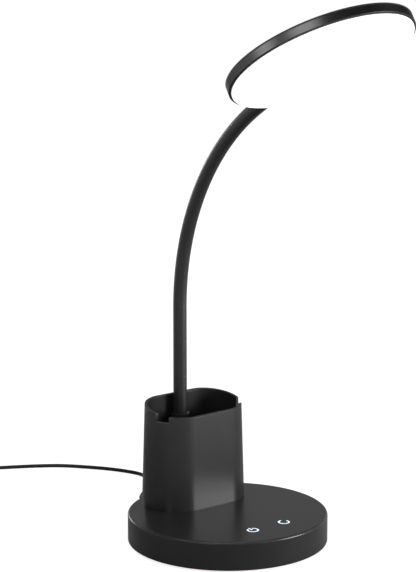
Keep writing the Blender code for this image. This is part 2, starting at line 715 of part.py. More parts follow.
def neck_point(length):
    """The place on the neck's centreline this far above the first joint, and its lean."""
    straight = NECK_STRAIGHT_TOP_Z - NECK_FIRST_JOINT_Z
    if length <= straight:
        return Vector((0, NECK_Y, NECK_FIRST_JOINT_Z + length)), 0.0
    lean = (length - straight) / NECK_BEND_RADIUS
    back = NECK_BEND_RADIUS * (1 - math.cos(lean))
    return Vector((0, NECK_Y - back, NECK_STRAIGHT_TOP_Z + NECK_BEND_RADIUS * math.sin(lean))), lean


def dome(height):
    """The convex end of a link, about a joint at this height: axis first, then down to the wall."""
    edge = math.asin(NECK_RADIUS / NECK_BALL_RADIUS)
    return arc(0, height, NECK_BALL_RADIUS, math.pi / 2, math.pi / 2 - edge, NECK_DOME_STEPS)


def socket():
    """The hollow end of a link, about the joint at height 0: wall first, then up to the axis."""
    radius = NECK_BALL_RADIUS + GAP
    edge = math.asin(NECK_RADIUS / radius)
    return arc(0, 0, radius, math.pi / 2 - edge, math.pi / 2, NECK_DOME_STEPS)


def neck_joint(index):
    """A frame at a joint, from which the pieces above it are placed."""
    place, lean = neck_point(NECK_LENGTH * index / (NECK_JOINTS - 1))
    frame = bpy.data.objects.new(f"neck_joint_{index + 1:02d}", None)
    lamp.objects.link(frame)
    frame.location = place
    frame.rotation_euler.x = lean
    return frame


def neck_pieces():
    """The stem in the cup, its washer and nut, and the ball-ended links above it."""
    shoulder_z = CUP_FLOOR_TOP_Z + GAP
    thread_end_z = BASE_UNDER_TOP_Z - NECK_THREAD_LENGTH
    stem_profile = dome(NECK_FIRST_JOINT_Z) + [
        (NECK_RADIUS, shoulder_z),
        (NECK_THREAD_RADIUS, shoulder_z),
        (NECK_THREAD_RADIUS, thread_end_z),
        (0, thread_end_z),
    ]
    stem = as_part(turned("neck_stem", on_axis(stem_profile)), SOFT_BLACK)
    stem.location = (0, NECK_Y, 0)
    washer_top_z = BASE_UNDER_TOP_Z - GAP
    washer_bottom_z = washer_top_z - WASHER_THICKNESS
    washer_ring = [
        (NECK_THREAD_RADIUS + GAP, washer_top_z),
        (WASHER_RADIUS, washer_top_z),
        (WASHER_RADIUS, washer_bottom_z),
        (NECK_THREAD_RADIUS + GAP, washer_bottom_z),
    ]
    washer = as_part(turned("neck_washer", washer_ring, closed=True), STEEL)
    washer.location = (0, NECK_Y, 0)
    nut_radius = NUT_ACROSS_FLATS / math.sqrt(3)
    hexagon = arc(0, 0, nut_radius, 0, 2 * math.pi, 6)[:-1]
    bore = arc(0, 0, NECK_THREAD_RADIUS + GAP, 0, 2 * math.pi, SMALL_STEPS)[:-1]
    nut_top_z = washer_bottom_z - GAP
    nut = plate("neck_nut", [hexagon, bore], nut_top_z - NUT_HEIGHT, nut_top_z, 0, NECK_Y)
    as_part(nut, STEEL)
    for i in range(NECK_JOINTS - 1):
        step = NECK_LENGTH / (NECK_JOINTS - 1)
        low, low_lean = neck_point(i * step)
        high, high_lean = neck_point((i + 1) * step)
        chord = high - low
        frame = neck_joint(i)
        profile = on_axis(dome(chord.length) + socket())
        link = as_part(turned(f"neck_link_{i + 1}", profile, steps=SMALL_STEPS), SOFT_BLACK, frame)
        link.rotation_euler.x = math.atan2(-chord.y, chord.z) - low_lean


def on_axis(profile):
    """Sets a profile's ends exactly on the axis."""
    return [(0, profile[0][1]), *profile[1:-1], (0, profile[-1][1])]


def head_pieces():
    """The light head on the last joint: ferrule, back cover, rim, diffuser, board and screws."""
    last_joint = neck_joint(NECK_JOINTS - 1)
    ferrule_end = NECK_REACH - GAP
    profile = [
        (0, NECK_REACH + SPIGOT_LENGTH),
        (SPIGOT_RADIUS, NECK_REACH + SPIGOT_LENGTH),
        (SPIGOT_RADIUS, ferrule_end),
        (NECK_RADIUS, ferrule_end),
        *socket(),
    ]
    ferrule = as_part(turned("neck_ferrule", on_axis(profile)), SOFT_BLACK, last_joint)
    head = bpy.data.objects.new("head_frame", None)
    lamp.objects.link(head)
    head.parent = last_joint
    head.location = (0, NECK_DROP, NECK_REACH + HEAD_RADIUS)
    head.rotation_euler.x = -math.pi / 2

    corners = [
        (0, 0, 0),
        (HEAD_RADIUS, 0, HEAD_BACK_FILLET),
        (HEAD_RADIUS, -HEAD_BACK_THICKNESS, 0),
        (0, -HEAD_BACK_THICKNESS, 0),
    ]
    back = turned("head_back", filleted(corners, False), steps=BIG_STEPS)
    as_part(back, SATIN_BLACK, head)
    bump_start = HEAD_RADIUS - BUMP_LENGTH
    bump_end = HEAD_RADIUS - HEAD_BACK_FILLET
    nose = arc(0, bump_start + BUMP_RADIUS, BUMP_RADIUS, -math.pi / 2, 0, SMALL_STEPS // 4)
    bump_profile = [(0, bump_end), (BUMP_RADIUS, bump_end), *reversed(nose)]
    bump = as_cutter(turned("neck_bump", on_axis(bump_profile)), head)
    bump.location.z = -NECK_DROP
    bump.rotation_euler.x = -math.pi / 2
    trim = block(
        "bump_trim",
        (-BUMP_RADIUS - OVERRUN, bump_start - OVERRUN, -NECK_DROP - BUMP_RADIUS - OVERRUN),
        (BUMP_RADIUS + OVERRUN, HEAD_RADIUS + OVERRUN, -HEAD_BACK_THICKNESS / 2),
    )
    combine(bump, as_cutter(trim, head))
    combine(back, bump, "UNION")
    spigot_room = cylinder(
        "spigot_room",
        SPIGOT_RADIUS + GAP,
        HEAD_RADIUS - SPIGOT_LENGTH - GAP,
        HEAD_RADIUS + OVERRUN,
    )
    as_cutter(spigot_room, head)
    spigot_room.rotation_euler.x = -math.pi / 2
    spigot_room.location = (0, spigot_room.location.z, -NECK_DROP)
    combine(back, spigot_room)

    bump_top = BUMP_RADIUS - NECK_DROP
    seat_top = bump_top - NECK_SCREW_HEAD_HEIGHT - GAP
    for i, share in enumerate(NECK_SCREW_SHARES):
        y = HEAD_RADIUS - SPIGOT_LENGTH * share
        sink = cylinder(
            f"neck_screw_sink_{i}", NECK_SCREW_HEAD_RADIUS + GAP, seat_top, bump_top + OVERRUN, 0, y
        )
        combine(back, as_cutter(sink, head))
        hole = cylinder(
            f"neck_screw_hole_{i}",
            NECK_SCREW_SHAFT_RADIUS + GAP,
            seat_top - NECK_SCREW_DEPTH,
            bump_top,
            0,
            y,
            steps=SMALL_STEPS // 2,
        )
        as_cutter(hole, head)
        combine(back, hole)
        combine(ferrule, hole)
        profile = screw_profile(
            NECK_SCREW_HEAD_RADIUS,
            NECK_SCREW_HEAD_HEIGHT,
            NECK_SCREW_SHAFT_RADIUS,
            NECK_SCREW_DEPTH - GAP,
        )
        driven = turned(f"neck_screw_{i + 1}", profile, steps=SMALL_STEPS // 2)
        as_part(driven, STEEL, head)
        driven.rotation_euler.x = math.pi
        driven.location = (0, y, seat_top + GAP)

    rim_top = -HEAD_BACK_THICKNESS - GAP
    rim_front = rim_top - HEAD_RIM_HEIGHT
    wall_in = HEAD_RADIUS - HEAD_RIM_WALL
    ledge_in = wall_in - HEAD_LEDGE_WIDTH
    diffuser_front = rim_front - DIFFUSER_PROUD
    diffuser_back = diffuser_front + DIFFUSER_THICKNESS
    ledge_front = diffuser_back + GAP
    rim_corners = [
        (HEAD_RADIUS, rim_top, 0),
        (HEAD_RADIUS, rim_front, HEAD_RIM_FILLET),
        (wall_in, rim_front, 0),
        (wall_in, ledge_front, 0),
        (ledge_in, ledge_front, 0),
        (ledge_in, ledge_front + HEAD_LEDGE_HEIGHT, 0),
        (wall_in, ledge_front + HEAD_LEDGE_HEIGHT, 0),
        (wall_in, rim_top, 0),
    ]
    rim = turned("head_rim", filleted(rim_corners, True), closed=True, steps=BIG_STEPS)
    as_part(rim, DARK_METAL, head)
    combine(rim, spigot_room)
    diffuser_corners = [
        (0, diffuser_back, 0),
        (wall_in - GAP, diffuser_back, 0),
        (wall_in - GAP, rim_front - GAP, 0),
        (HEAD_RADIUS - DIFFUSER_LIP_SETBACK, rim_front - GAP, 0),
        (HEAD_RADIUS - DIFFUSER_LIP_SETBACK, diffuser_front, DIFFUSER_FILLET),
        (0, diffuser_front, 0),
    ]
    diffuser = turned("head_diffuser", filleted(diffuser_corners, False), steps=BIG_STEPS)
    as_part(diffuser, OPAL, head)
    led_board(head)


def led_board(head):
    """The round board behind the diffuser, notched for the neck's spigot, with its light chips."""
    notch_end = HEAD_RADIUS - SPIGOT_LENGTH - GAP - OVERRUN
    edge = math.asin(LED_NOTCH_HALF_WIDTH / LED_BOARD_RADIUS)
    outline = arc(
        0, 0, LED_BOARD_RADIUS, math.pi / 2 + edge, 5 * math.pi / 2 - edge, BIG_STEPS
    )
    outline += [(LED_NOTCH_HALF_WIDTH, notch_end), (-LED_NOTCH_HALF_WIDTH, notch_end)]
    top = -HEAD_BACK_THICKNESS - GAP
    bottom = top - LED_BOARD_THICKNESS
    board = plate("led_board", [outline], bottom, top)
    as_part(board, BOARD_WHITE, head)
    for ring, (share, count) in enumerate(zip(LED_RING_RADII_SHARES, LED_RING_COUNTS)):
        for i in range(count):
            angle = 2 * math.pi * (i + 1 / 2) / count
            x = LED_BOARD_RADIUS * share * math.cos(angle)
            y = LED_BOARD_RADIUS * share * math.sin(angle)
            half = LED_SIZE / 2
            chip = block(
                f"led_{ring}_{i}",
                (x - half, y - half, bottom - LED_HEIGHT),
                (x + half, y + half, bottom + LED_BOARD_THICKNESS / 2),
            )
            combine(board, as_cutter(chip, head), "UNION")


def smooth_route(points, step):
    """Points at even steps along a smooth curve through the points chosen by hand."""
    chosen = [Vector(point) for point in points]
    ends = [2 * chosen[0] - chosen[1], *chosen, 2 * chosen[-1] - chosen[-2]]
    dense = []
    for before, start, end, after in zip(ends, ends[1:], ends[2:], ends[3:]):
        for t in np.linspace(0, 1, 24, endpoint=False):
            bend = (end - before) * t + (2 * before - 5 * start + 4 * end - after) * t * t
            bend += (3 * start - before - 3 * end + after) * t * t * t
            dense.append(start + bend / 2)
    dense.append(chosen[-1])
    travelled = np.cumsum([0.0] + [(b - a).length for a, b in zip(dense, dense[1:])])
    marks = np.linspace(0, travelled[-1], max(2, round(travelled[-1] / step)) + 1)
    axes = [np.interp(marks, travelled, [point[k] for point in dense]) for k in range(3)]
    return list(zip(*axes))


def coil_centre():
    """The coil's middle, to the left of the cord as it arrives, and its outermost radius."""
    turns = coil_turns()
    outer = COIL_MEAN_RADIUS + COIL_TURN_PITCH * turns / COIL_LAYERS / 2
    x, y = COIL_ENTRY
    side = COIL_ENTRY_HEADING + math.pi / 2
    return Vector((x + outer * math.cos(side), y + outer * math.sin(side), 0)), outer


def coil_turns():
    """Whole turns plus the part turn between the cord's arriving and leaving headings."""
    return COIL_TURNS + (COIL_EXIT_HEADING - COIL_ENTRY_HEADING) / (2 * math.pi)


def coil_points():
    """The wound cord: it spirals in and out at a steady rate and climbs where it reverses."""
    centre, outer = coil_centre()
    turns = coil_turns()
    per_layer = turns / COIL_LAYERS
    start_angle = COIL_ENTRY_HEADING - math.pi / 2
    count = round(turns * COIL_POINTS_PER_TURN)
    points = []
    for i in range(count + 1):
        turn = turns * i / count
        layer = min(int(turn / per_layer), COIL_LAYERS - 1)
        share = turn / per_layer - layer
        inward = share if layer % 2 == 0 else 1 - share
        radius = outer - COIL_TURN_PITCH * per_layer * inward
        climbed = 0.0
        for reversal in range(1, COIL_LAYERS):
            past = (turn - reversal * per_layer) * 2 + 1 / 2
            climbed += min(max(past, 0.0), 1.0)
        angle = start_angle + 2 * math.pi * turn
        place = centre + Vector((radius * math.cos(angle), radius * math.sin(angle), 0))
        points.append(place + Vector((0, 0, COIL_REST_Z + COIL_LAYER_PITCH * climbed)))
    lead = 2 * CORD_RADIUS
    first = Vector((math.cos(COIL_ENTRY_HEADING), math.sin(COIL_ENTRY_HEADING), 0))
    last = Vector((math.cos(COIL_EXIT_HEADING), math.sin(COIL_EXIT_HEADING), 0))
    return [points[0] - first * lead, *points, points[-1] + last * lead]


def least_self_gap(points, radius):
    """The least clear distance between turns, measured on the points."""
    places = np.array([tuple(point) for point in points])
    near_turn = COIL_POINTS_PER_TURN // 2
    least = math.inf
    for i in range(len(places) - near_turn):
        apart = np.linalg.norm(places[i + near_turn:] - places[i], axis=1)
        least = min(least, float(apart.min()))
    return least - 2 * radius


def cord_pieces():
    """The grommet, the free cord, its coil, tie and tail, and the plug on its end."""
    wall_out = BASE_RADIUS + GAP
    wall_in = BASE_INNER_RADIUS - GAP
    neck_radius = GROMMET_HOLE_RADIUS - GAP
    flange_in = wall_in - GROMMET_FLANGE_THICKNESS
    tip = wall_out + GROMMET_LENGTH
    ring_step = GROMMET_LENGTH / (2 * GROMMET_RINGS + 1)
    outline = [(0, tip), (GROMMET_TIP_RADIUS, tip)]
    for i in range(2 * GROMMET_RINGS):
        along = tip - ring_step * (i + 1)
        share = (i + 1) / (2 * GROMMET_RINGS + 1)
        radius = GROMMET_TIP_RADIUS + (GROMMET_ROOT_RADIUS - GROMMET_TIP_RADIUS) * share
        outline.append((radius - (GROMMET_RING_DEPTH if i % 2 == 0 else 0), along))
    outline += [
        (GROMMET_ROOT_RADIUS, wall_out),
        (neck_radius, wall_out),
        (neck_radius, wall_in),
        (GROMMET_FLANGE_RADIUS, wall_in),
        (GROMMET_FLANGE_RADIUS, flange_in),
        (0, flange_in),
    ]
    grommet = as_part(turned("cord_grommet", outline, steps=SMALL_STEPS // 2), SOFT_BLACK)
    grommet.location = (0, 0, CORD_EXIT_Z)
    grommet.rotation_euler.x = -math.pi / 2

    coil_line = coil_points()
    print(f"cord_coil least gap to itself {least_self_gap(coil_line, CORD_RADIUS) * 1000:.2f} mm")
    coil = as_part(tube("cord_coil", coil_line, CORD_RADIUS, 1), CORD_BLACK)
    arriving = Vector((math.cos(COIL_ENTRY_HEADING), math.sin(COIL_ENTRY_HEADING), 0))
    meeting = coil_line[0] - arriving * GAP
    start = Vector((0, tip + GAP, CORD_EXIT_Z))
    route = [start, *CORD_ROUTE, meeting - arriving * (2 * CORD_RADIUS), meeting]
    as_part(tube("cord", smooth_route(route, CORD_STEP), CORD_RADIUS), CORD_BLACK)

    leaving = Vector((math.cos(COIL_EXIT_HEADING), math.sin(COIL_EXIT_HEADING), 0))
    tail_start = coil_line[-1] + leaving * GAP
    tail_end = tail_start + leaving * TAIL_LENGTH
    tail_end.z = PLUG_REST_Z
    lead = leaving * (TAIL_LENGTH / 4)
    tail_route = [tail_start, tail_start + lead, tail_end - lead, tail_end]
    as_part(tube("cord_tail", smooth_route(tail_route, CORD_STEP / 2), CORD_RADIUS), CORD_BLACK)
    tie_piece()
    plug_pieces(tail_end + leaving * GAP)


def tie_piece():
    """A flat strap round all the coil's turns, at one side of the coil."""
    centre, outer = coil_centre()
    inner = outer - COIL_TURN_PITCH * coil_turns() / COIL_LAYERS
    near = math.sqrt((inner - CORD_RADIUS) ** 2 - (TIE_WIDTH / 2) ** 2) - GAP
    far = outer + CORD_RADIUS + GAP
    low = TABLE_GAP + TIE_THICKNESS
    high = COIL_REST_Z + COIL_LAYER_PITCH * (COIL_LAYERS - 1) + CORD_RADIUS + GAP
    outlines = []
    for grown, rounding in ((TIE_THICKNESS, TIE_ROUNDING), (0, TIE_ROUNDING - TIE_THICKNESS)):
        corners = [
            (near - grown, low - grown, rounding),
            (near - grown, high + grown, rounding),
            (far + grown, high + grown, rounding),
            (far + grown, low - grown, rounding),
        ]
        outlines.append(filleted(corners, True))
    strap = plate("cord_tie", outlines, -TIE_WIDTH / 2, TIE_WIDTH / 2)
    as_part(strap, SOFT_BLACK)
    strap.location = centre
    strap.rotation_euler = (math.pi / 2, 0, TIE_TURN)


def plug_pieces(start):
    """The moulded plug body, its metal shell and the contact tongue, along the tail's heading."""
    frame = bpy.data.objects.new("plug_frame", None)
    lamp.objects.link(frame)
    frame.location = start
    frame.rotation_euler.z = COIL_EXIT_HEADING - math.pi / 2
    face = PLUG_BOOT_LENGTH + PLUG_BODY_LENGTH
    body = block(
        "usb_plug_body",
        (-PLUG_BODY_WIDTH / 2, PLUG_BOOT_LENGTH, -PLUG_BODY_HEIGHT / 2),
        (PLUG_BODY_WIDTH / 2, face, PLUG_BODY_HEIGHT / 2),
    )
    as_part(body, SOFT_BLACK, frame)
    rounding = body.modifiers.new("rounding", "BEVEL")
    rounding.width = PLUG_BODY_ROUNDING
    rounding.segments = FILLET_STEPS
    boot_profile = [
        (0, PLUG_BOOT_LENGTH + PLUG_BODY_ROUNDING),
        (PLUG_BOOT_ROOT_RADIUS, PLUG_BOOT_LENGTH + PLUG_BODY_ROUNDING),
        (PLUG_BOOT_TIP_RADIUS, 0),
        (0, 0),
    ]
    boot = as_cutter(turned("plug_boot", boot_profile), frame)
    boot.rotation_euler.x = -math.pi / 2
    combine(body, boot, "UNION")
    half_width, half_height = PLUG_SHELL_WIDTH / 2, PLUG_SHELL_HEIGHT / 2
    seat = face - PLUG_SEAT_DEPTH
    mouth = face + PLUG_SHELL_LENGTH
    pocket = block(
        "plug_pocket",
        (-half_width - GAP, seat - GAP, -half_height - GAP),
        (half_width + GAP, face + OVERRUN, half_height + GAP),
    )
    combine(body, as_cutter(pocket, frame))
    shell = block(
        "usb_plug_shell", (-half_width, seat, -half_height), (half_width, mouth, half_height)
    )
    as_part(shell, STEEL, frame)
    inner_width, inner_height = half_width - PLUG_SHELL_WALL, half_height - PLUG_SHELL_WALL
    room = block(
        "shell_room",
        (-inner_width, seat - OVERRUN, -inner_height),
        (inner_width, mouth + OVERRUN, inner_height),
    )
    combine(shell, as_cutter(room, frame))
    low, high = GAP - inner_height, inner_height - GAP
    profile = [
        (seat, low),
        (mouth - PLUG_TONGUE_SETBACK, low),
        (mouth - PLUG_TONGUE_SETBACK, low + PLUG_TONGUE_THICKNESS),
        (face, low + PLUG_TONGUE_THICKNESS),
        (face, high),
        (seat, high),
    ]
    tongue = plate("usb_plug_tongue", [profile], GAP - inner_width, inner_width - GAP)
    as_part(tongue, CONTACT_WHITE, frame)
    tongue.rotation_euler = (math.pi / 2, 0, math.pi / 2)


base_pieces()
touch_pieces()
cup_pieces()
neck_pieces()
head_pieces()
cord_pieces()
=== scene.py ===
"""The desk lamp's finishes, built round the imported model. Metres, +Z up, the lamp's front is -Y."""
import json
import math

import bmesh
import bpy
import numpy as np
from mathutils import Matrix, Vector


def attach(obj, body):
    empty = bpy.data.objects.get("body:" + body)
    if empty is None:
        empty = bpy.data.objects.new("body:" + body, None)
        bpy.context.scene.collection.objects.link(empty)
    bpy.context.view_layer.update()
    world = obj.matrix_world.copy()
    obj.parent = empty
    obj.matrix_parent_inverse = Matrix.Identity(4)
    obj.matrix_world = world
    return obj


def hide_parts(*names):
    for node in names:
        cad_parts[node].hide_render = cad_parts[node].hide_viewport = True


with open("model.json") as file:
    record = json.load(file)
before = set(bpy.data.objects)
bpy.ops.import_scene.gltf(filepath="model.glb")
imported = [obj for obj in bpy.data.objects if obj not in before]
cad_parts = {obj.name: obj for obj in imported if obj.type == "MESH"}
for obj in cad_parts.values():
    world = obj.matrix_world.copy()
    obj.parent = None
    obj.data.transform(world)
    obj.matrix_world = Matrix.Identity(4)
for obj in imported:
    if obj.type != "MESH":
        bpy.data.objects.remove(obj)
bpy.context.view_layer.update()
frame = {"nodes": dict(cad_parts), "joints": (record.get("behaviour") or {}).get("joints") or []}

# Camera
# A long lens, a little above the cup's rim and in front of the lamp's left side.
# It was fitted to the outlines of the base, the cup, the neck and the head.
CAMERA_AZIMUTH = math.radians(-39.2)
CAMERA_ELEVATION = math.radians(11.23)
CAMERA_PLACE = (-0.86054, -1.03332, 0.44870)
CAMERA_LENS = 125.87
CAMERA_SENSOR = 36.0

camera = bpy.data.objects.new("camera", bpy.data.cameras.new("camera"))
camera.data.lens = CAMERA_LENS
camera.data.sensor_fit = "VERTICAL"
camera.data.sensor_height = CAMERA_SENSOR
camera.location = CAMERA_PLACE
camera.rotation_mode = "QUATERNION"
backwards = Vector((
    math.sin(CAMERA_AZIMUTH) * math.cos(CAMERA_ELEVATION),
    -math.cos(CAMERA_AZIMUTH) * math.cos(CAMERA_ELEVATION),
    math.sin(CAMERA_ELEVATION),
))
camera.rotation_quaternion = (-backwards).to_track_quat("-Z", "Y")
bpy.context.scene.collection.objects.link(camera)
bpy.context.scene.camera = camera

# Lead
# The power lead, a round two-core cable in a soft black jacket, 2.8 mm thick and 1.2 m long.
# It leaves the strain relief, runs over the table, and the rest is wound in four layers and tied.
CORD_RADIUS = 0.0014
CORD_START = (0.0, 0.0873, 0.0090)
COIL_TURNS = 9
COIL_LAYERS = 4
COIL_MEAN_RADIUS = 0.0156
COIL_TURN_PITCH = 0.00325
COIL_LAYER_PITCH = 0.0033
COIL_REST_Z = 0.0026
COIL_POINTS_PER_TURN = 36
COIL_CLIMB_TURNS = 0.5
COIL_ENTRY = (-0.0568, 0.2623)
COIL_ENTRY_HEADING = math.radians(150.6)
COIL_EXIT_HEADING = math.radians(270)
TAIL_LENGTH = 0.0280
CORD_GAP = 0.0003
PLUG_AXIS_Z = 0.0040
CORD_STEP = 0.0025
CORD_CURVE_STEPS = 24
CORD_BLACK = (0.012, 0.012, 0.013)
CORD_ROUTE = (
    (0.0002, 0.0925, 0.0088),
    (0.0018, 0.1000, 0.0066),
    (0.0062, 0.1085, 0.0035),
    (0.0135, 0.1170, 0.0018),
    (0.0240, 0.1262, 0.0015),
    (0.0345, 0.1363, 0.0015),
    (0.0430, 0.1480, 0.0015),
    (0.0466, 0.1610, 0.0015),
    (0.0433, 0.1745, 0.0015),
    (0.0356, 0.1900, 0.0015),
    (0.0245, 0.2060, 0.0015),
    (0.0120, 0.2205, 0.0015),
    (-0.0020, 0.2310, 0.0015),
    (-0.0150, 0.2388, 0.0015),
    (-0.0280, 0.2460, 0.0015),
    (-0.0420, 0.2538, 0.0020),
)
GRAIN_DETAIL = 3
MOTTLE_DETAIL = 4
GRAINS_PER_MOTTLE = 40
GLOSS_SPREAD = 0.12
# Worn edges: paler and smoother where rubbed, and the paler colour also paints a highlight along rounded
# edges.
RUB_FROM, RUB_TO = 0.40, 0.62
RUB_LEAST = 0.3
RUB_AND_HIGHLIGHT_BRIGHTER = 4
RUB_AND_HIGHLIGHT_PALER = 0.02
RUB_SMOOTHER = 0.5


def feed(tree, node, inputs):
    """Gives a node's inputs values, or joins them to outputs of other nodes."""
    for key, value in inputs.items():
        if isinstance(value, bpy.types.NodeSocket):
            tree.links.new(value, node.inputs[key])
        else:
            node.inputs[key].default_value = value
    return node.outputs


def add_node(tree, kind, inputs=None, **settings):
    """Adds a node with its settings and its inputs, and gives its outputs."""
    node = tree.nodes.new("ShaderNode" + kind)
    for setting, value in settings.items():
        setattr(node, setting, value)
    return feed(tree, node, inputs or {})


def reckon(tree, operation, *values):
    """A sum on node values or numbers."""
    return add_node(tree, "Math", dict(enumerate(values)), operation=operation)[0]


def ramp(tree, value, marks, shape="LINEAR"):
    """A change between two marks, each a place and the value there."""
    (first, start), (last, end) = marks
    change = {"Value": value, "From Min": first, "From Max": last, "To Min": start, "To Max": end}
    return add_node(tree, "MapRange", change, interpolation_type=shape)["Result"]


def blend_colours(tree, share, first, second):
    """One colour that changes into another with a share from 0 to 1."""
    return add_node(tree, "Mix", {"Factor": share, "A": first, "B": second}, data_type="RGBA")["Result"]


def tinted(colour, factor, paler=0.0):
    """A colour made brighter or darker, with its alpha."""
    return (*(min(1, part * factor + paler) for part in colour), 1)


def finish(
    name, colour, roughness, metallic=0.0, level=0.5, mottle=0.1, grain=2e-6, grain_size=4e-4, wear_and_highlight=0.0
):
    """Faint mottling, a fine grain in the gloss and relief, and paler, smoother worn edges, whose paler
    colour is also a painted highlight along rounded edges.
    """
    made = bpy.data.materials.new(name)
    made.use_nodes = True
    tree = made.node_tree
    place = add_node(tree, "TexCoord")["Object"]
    grains = {"Vector": place, "Scale": 1 / grain_size, "Detail": GRAIN_DETAIL}
    fine = add_node(tree, "TexNoise", grains, name="fine grain")["Fac"]
    mottles = {"Vector": place, "Scale": 1 / (GRAINS_PER_MOTTLE * grain_size), "Detail": MOTTLE_DETAIL}
    broad = add_node(tree, "TexNoise", mottles)["Fac"]
    tint = blend_colours(tree, broad, tinted(colour, 1 - mottle), tinted(colour, 1 + mottle))
    gloss = ramp(tree, fine, ((0, roughness * (1 - GLOSS_SPREAD)), (1, roughness * (1 + GLOSS_SPREAD))))
    relief = add_node(tree, "Bump", {"Height": fine, "Distance": grain})["Normal"]
    if wear_and_highlight:
        edge = add_node(tree, "Attribute", attribute_name="edge")["Fac"]
        patchy = ramp(tree, broad, ((RUB_FROM, wear_and_highlight * RUB_LEAST), (RUB_TO, wear_and_highlight)))
        rubbed_and_highlit = reckon(tree, "MULTIPLY", edge, patchy)
        # The paler edge colour is wear, and it is also a painted highlight along the rounded edges.
        tint = blend_colours(tree, rubbed_and_highlit, tint, tinted(colour, RUB_AND_HIGHLIGHT_BRIGHTER, RUB_AND_HIGHLIGHT_PALER))
        gloss = reckon(tree, "MULTIPLY_ADD", rubbed_and_highlit, -roughness * RUB_SMOOTHER, gloss)
    body = {"Base Color": tint, "Metallic": metallic, "Specular IOR Level": level}
    feed(tree, tree.nodes["Principled BSDF"], {**body, "Roughness": gloss, "Normal": relief})
    return made


def smooth_route(points, step):
    """Points at even steps along a smooth curve through the points given."""
    chosen = [Vector(point) for point in points]
    ends = [2 * chosen[0] - chosen[1], *chosen, 2 * chosen[-1] - chosen[-2]]
    dense = []
    for before, start, end, after in zip(ends, ends[1:], ends[2:], ends[3:]):
        for t in np.linspace(0, 1, CORD_CURVE_STEPS, endpoint=False):
            bend = (end - before) * t + (2 * before - 5 * start + 4 * end - after) * t * t
            bend += (3 * start - before - 3 * end + after) * t * t * t
            dense.append(start + bend / 2)
    dense.append(chosen[-1])
    travelled = np.cumsum([0.0] + [(b - a).length for a, b in zip(dense, dense[1:])])
    marks = np.linspace(0, travelled[-1], max(2, round(travelled[-1] / step)) + 1)
    axes = [np.interp(marks, travelled, [point[k] for point in dense]) for k in range(3)]
    return [Vector(place) for place in zip(*axes)]


def heading(angle):
    """A direction over the table, from +X round towards +Y."""
    return Vector((math.cos(angle), math.sin(angle), 0))


def wire(name, points, radius, roundness=5):
    """A round wire or cable along a line of points."""
    line = bpy.data.curves.new(name, "CURVE")
    line.dimensions = "3D"
    line.bevel_depth = radius
    line.bevel_resolution = roundness
    line.use_fill_caps = True
    spline = line.splines.new("POLY")
    spline.points.add(len(points) - 1)
    for point, place in zip(spline.points, points):
        point.co = (*place, 1)
    made = bpy.data.objects.new(name, line)
    bpy.context.scene.collection.objects.link(made)
    return made


coil_turns = COIL_TURNS + (COIL_EXIT_HEADING - COIL_ENTRY_HEADING) / (2 * math.pi)
turns_per_layer = coil_turns / COIL_LAYERS
coil_outer = COIL_MEAN_RADIUS + COIL_TURN_PITCH * turns_per_layer / 2
coil_centre = Vector((*COIL_ENTRY, 0)) + coil_outer * heading(COIL_ENTRY_HEADING + math.pi / 2)
coil = []
for i in range(round(coil_turns * COIL_POINTS_PER_TURN) + 1):
    turn = coil_turns * i / round(coil_turns * COIL_POINTS_PER_TURN)
    layer = min(int(turn / turns_per_layer), COIL_LAYERS - 1)
    share = turn / turns_per_layer - layer
    inward = share if layer % 2 == 0 else 1 - share
    radius = coil_outer - COIL_TURN_PITCH * turns_per_layer * inward
    climbed = sum(
        min(max((turn - reversal * turns_per_layer) / COIL_CLIMB_TURNS + 1 / 2, 0), 1)
        for reversal in range(1, COIL_LAYERS)
    )
    out = heading(COIL_ENTRY_HEADING - math.pi / 2 + 2 * math.pi * turn)
    height = COIL_REST_Z + COIL_LAYER_PITCH * climbed
    coil.append(coil_centre + radius * out + Vector((0, 0, height)))
arriving = heading(COIL_ENTRY_HEADING)
leaving = heading(COIL_EXIT_HEADING)
cord_lead = 2 * CORD_RADIUS
coil_start = coil[0] - arriving * cord_lead
coil_end = coil[-1] + leaving * cord_lead
plug_start = Vector((*(coil_end + leaving * (TAIL_LENGTH + 2 * CORD_GAP)).xy, PLUG_AXIS_Z))
free_route = [CORD_START, *CORD_ROUTE, coil_start - arriving * cord_lead, coil_start]
tail_lead = leaving * (TAIL_LENGTH / 4)
tail_route = [coil_end, coil_end + tail_lead, plug_start - tail_lead, plug_start]
cord_line = [*smooth_route(free_route, CORD_STEP), *coil, *smooth_route(tail_route, CORD_STEP)]
cord = wire("power_cord", cord_line, CORD_RADIUS)
cord.data.materials.append(
    finish("cord_jacket", CORD_BLACK, roughness=0.46, level=0.25, grain=1.2e-5, grain_size=5e-4)
)
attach(cord, "base")
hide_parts("cord", "cord_coil", "cord_tail")

# Coil tie
# A flat strap of soft black rubber round all the turns at one side of the coil.
# It is stretched over them as a closed loop, and its edges are rounded.
TIE_THICKNESS = 0.0008
TIE_WIDTH = 0.0060
TIE_ROUNDING = 0.0020
TIE_GAP = 0.0003
TIE_TURN = math.radians(-30)
TIE_FOOT_Z = 0.0001
SUPPORT_BAND = 0.00015
ROUNDED_EDGE = (math.radians(12), math.radians(40))
RUBBER_BLACK = (0.016, 0.016, 0.017)

quarter = math.pi / 2


def arc(middle_u, middle_v, radius, start, end, steps):
    """Points on a round stretch of an outline or a profile."""
    angles = np.linspace(start, end, steps + 1)
    return [(middle_u + radius * math.cos(a), middle_v + radius * math.sin(a)) for a in angles]


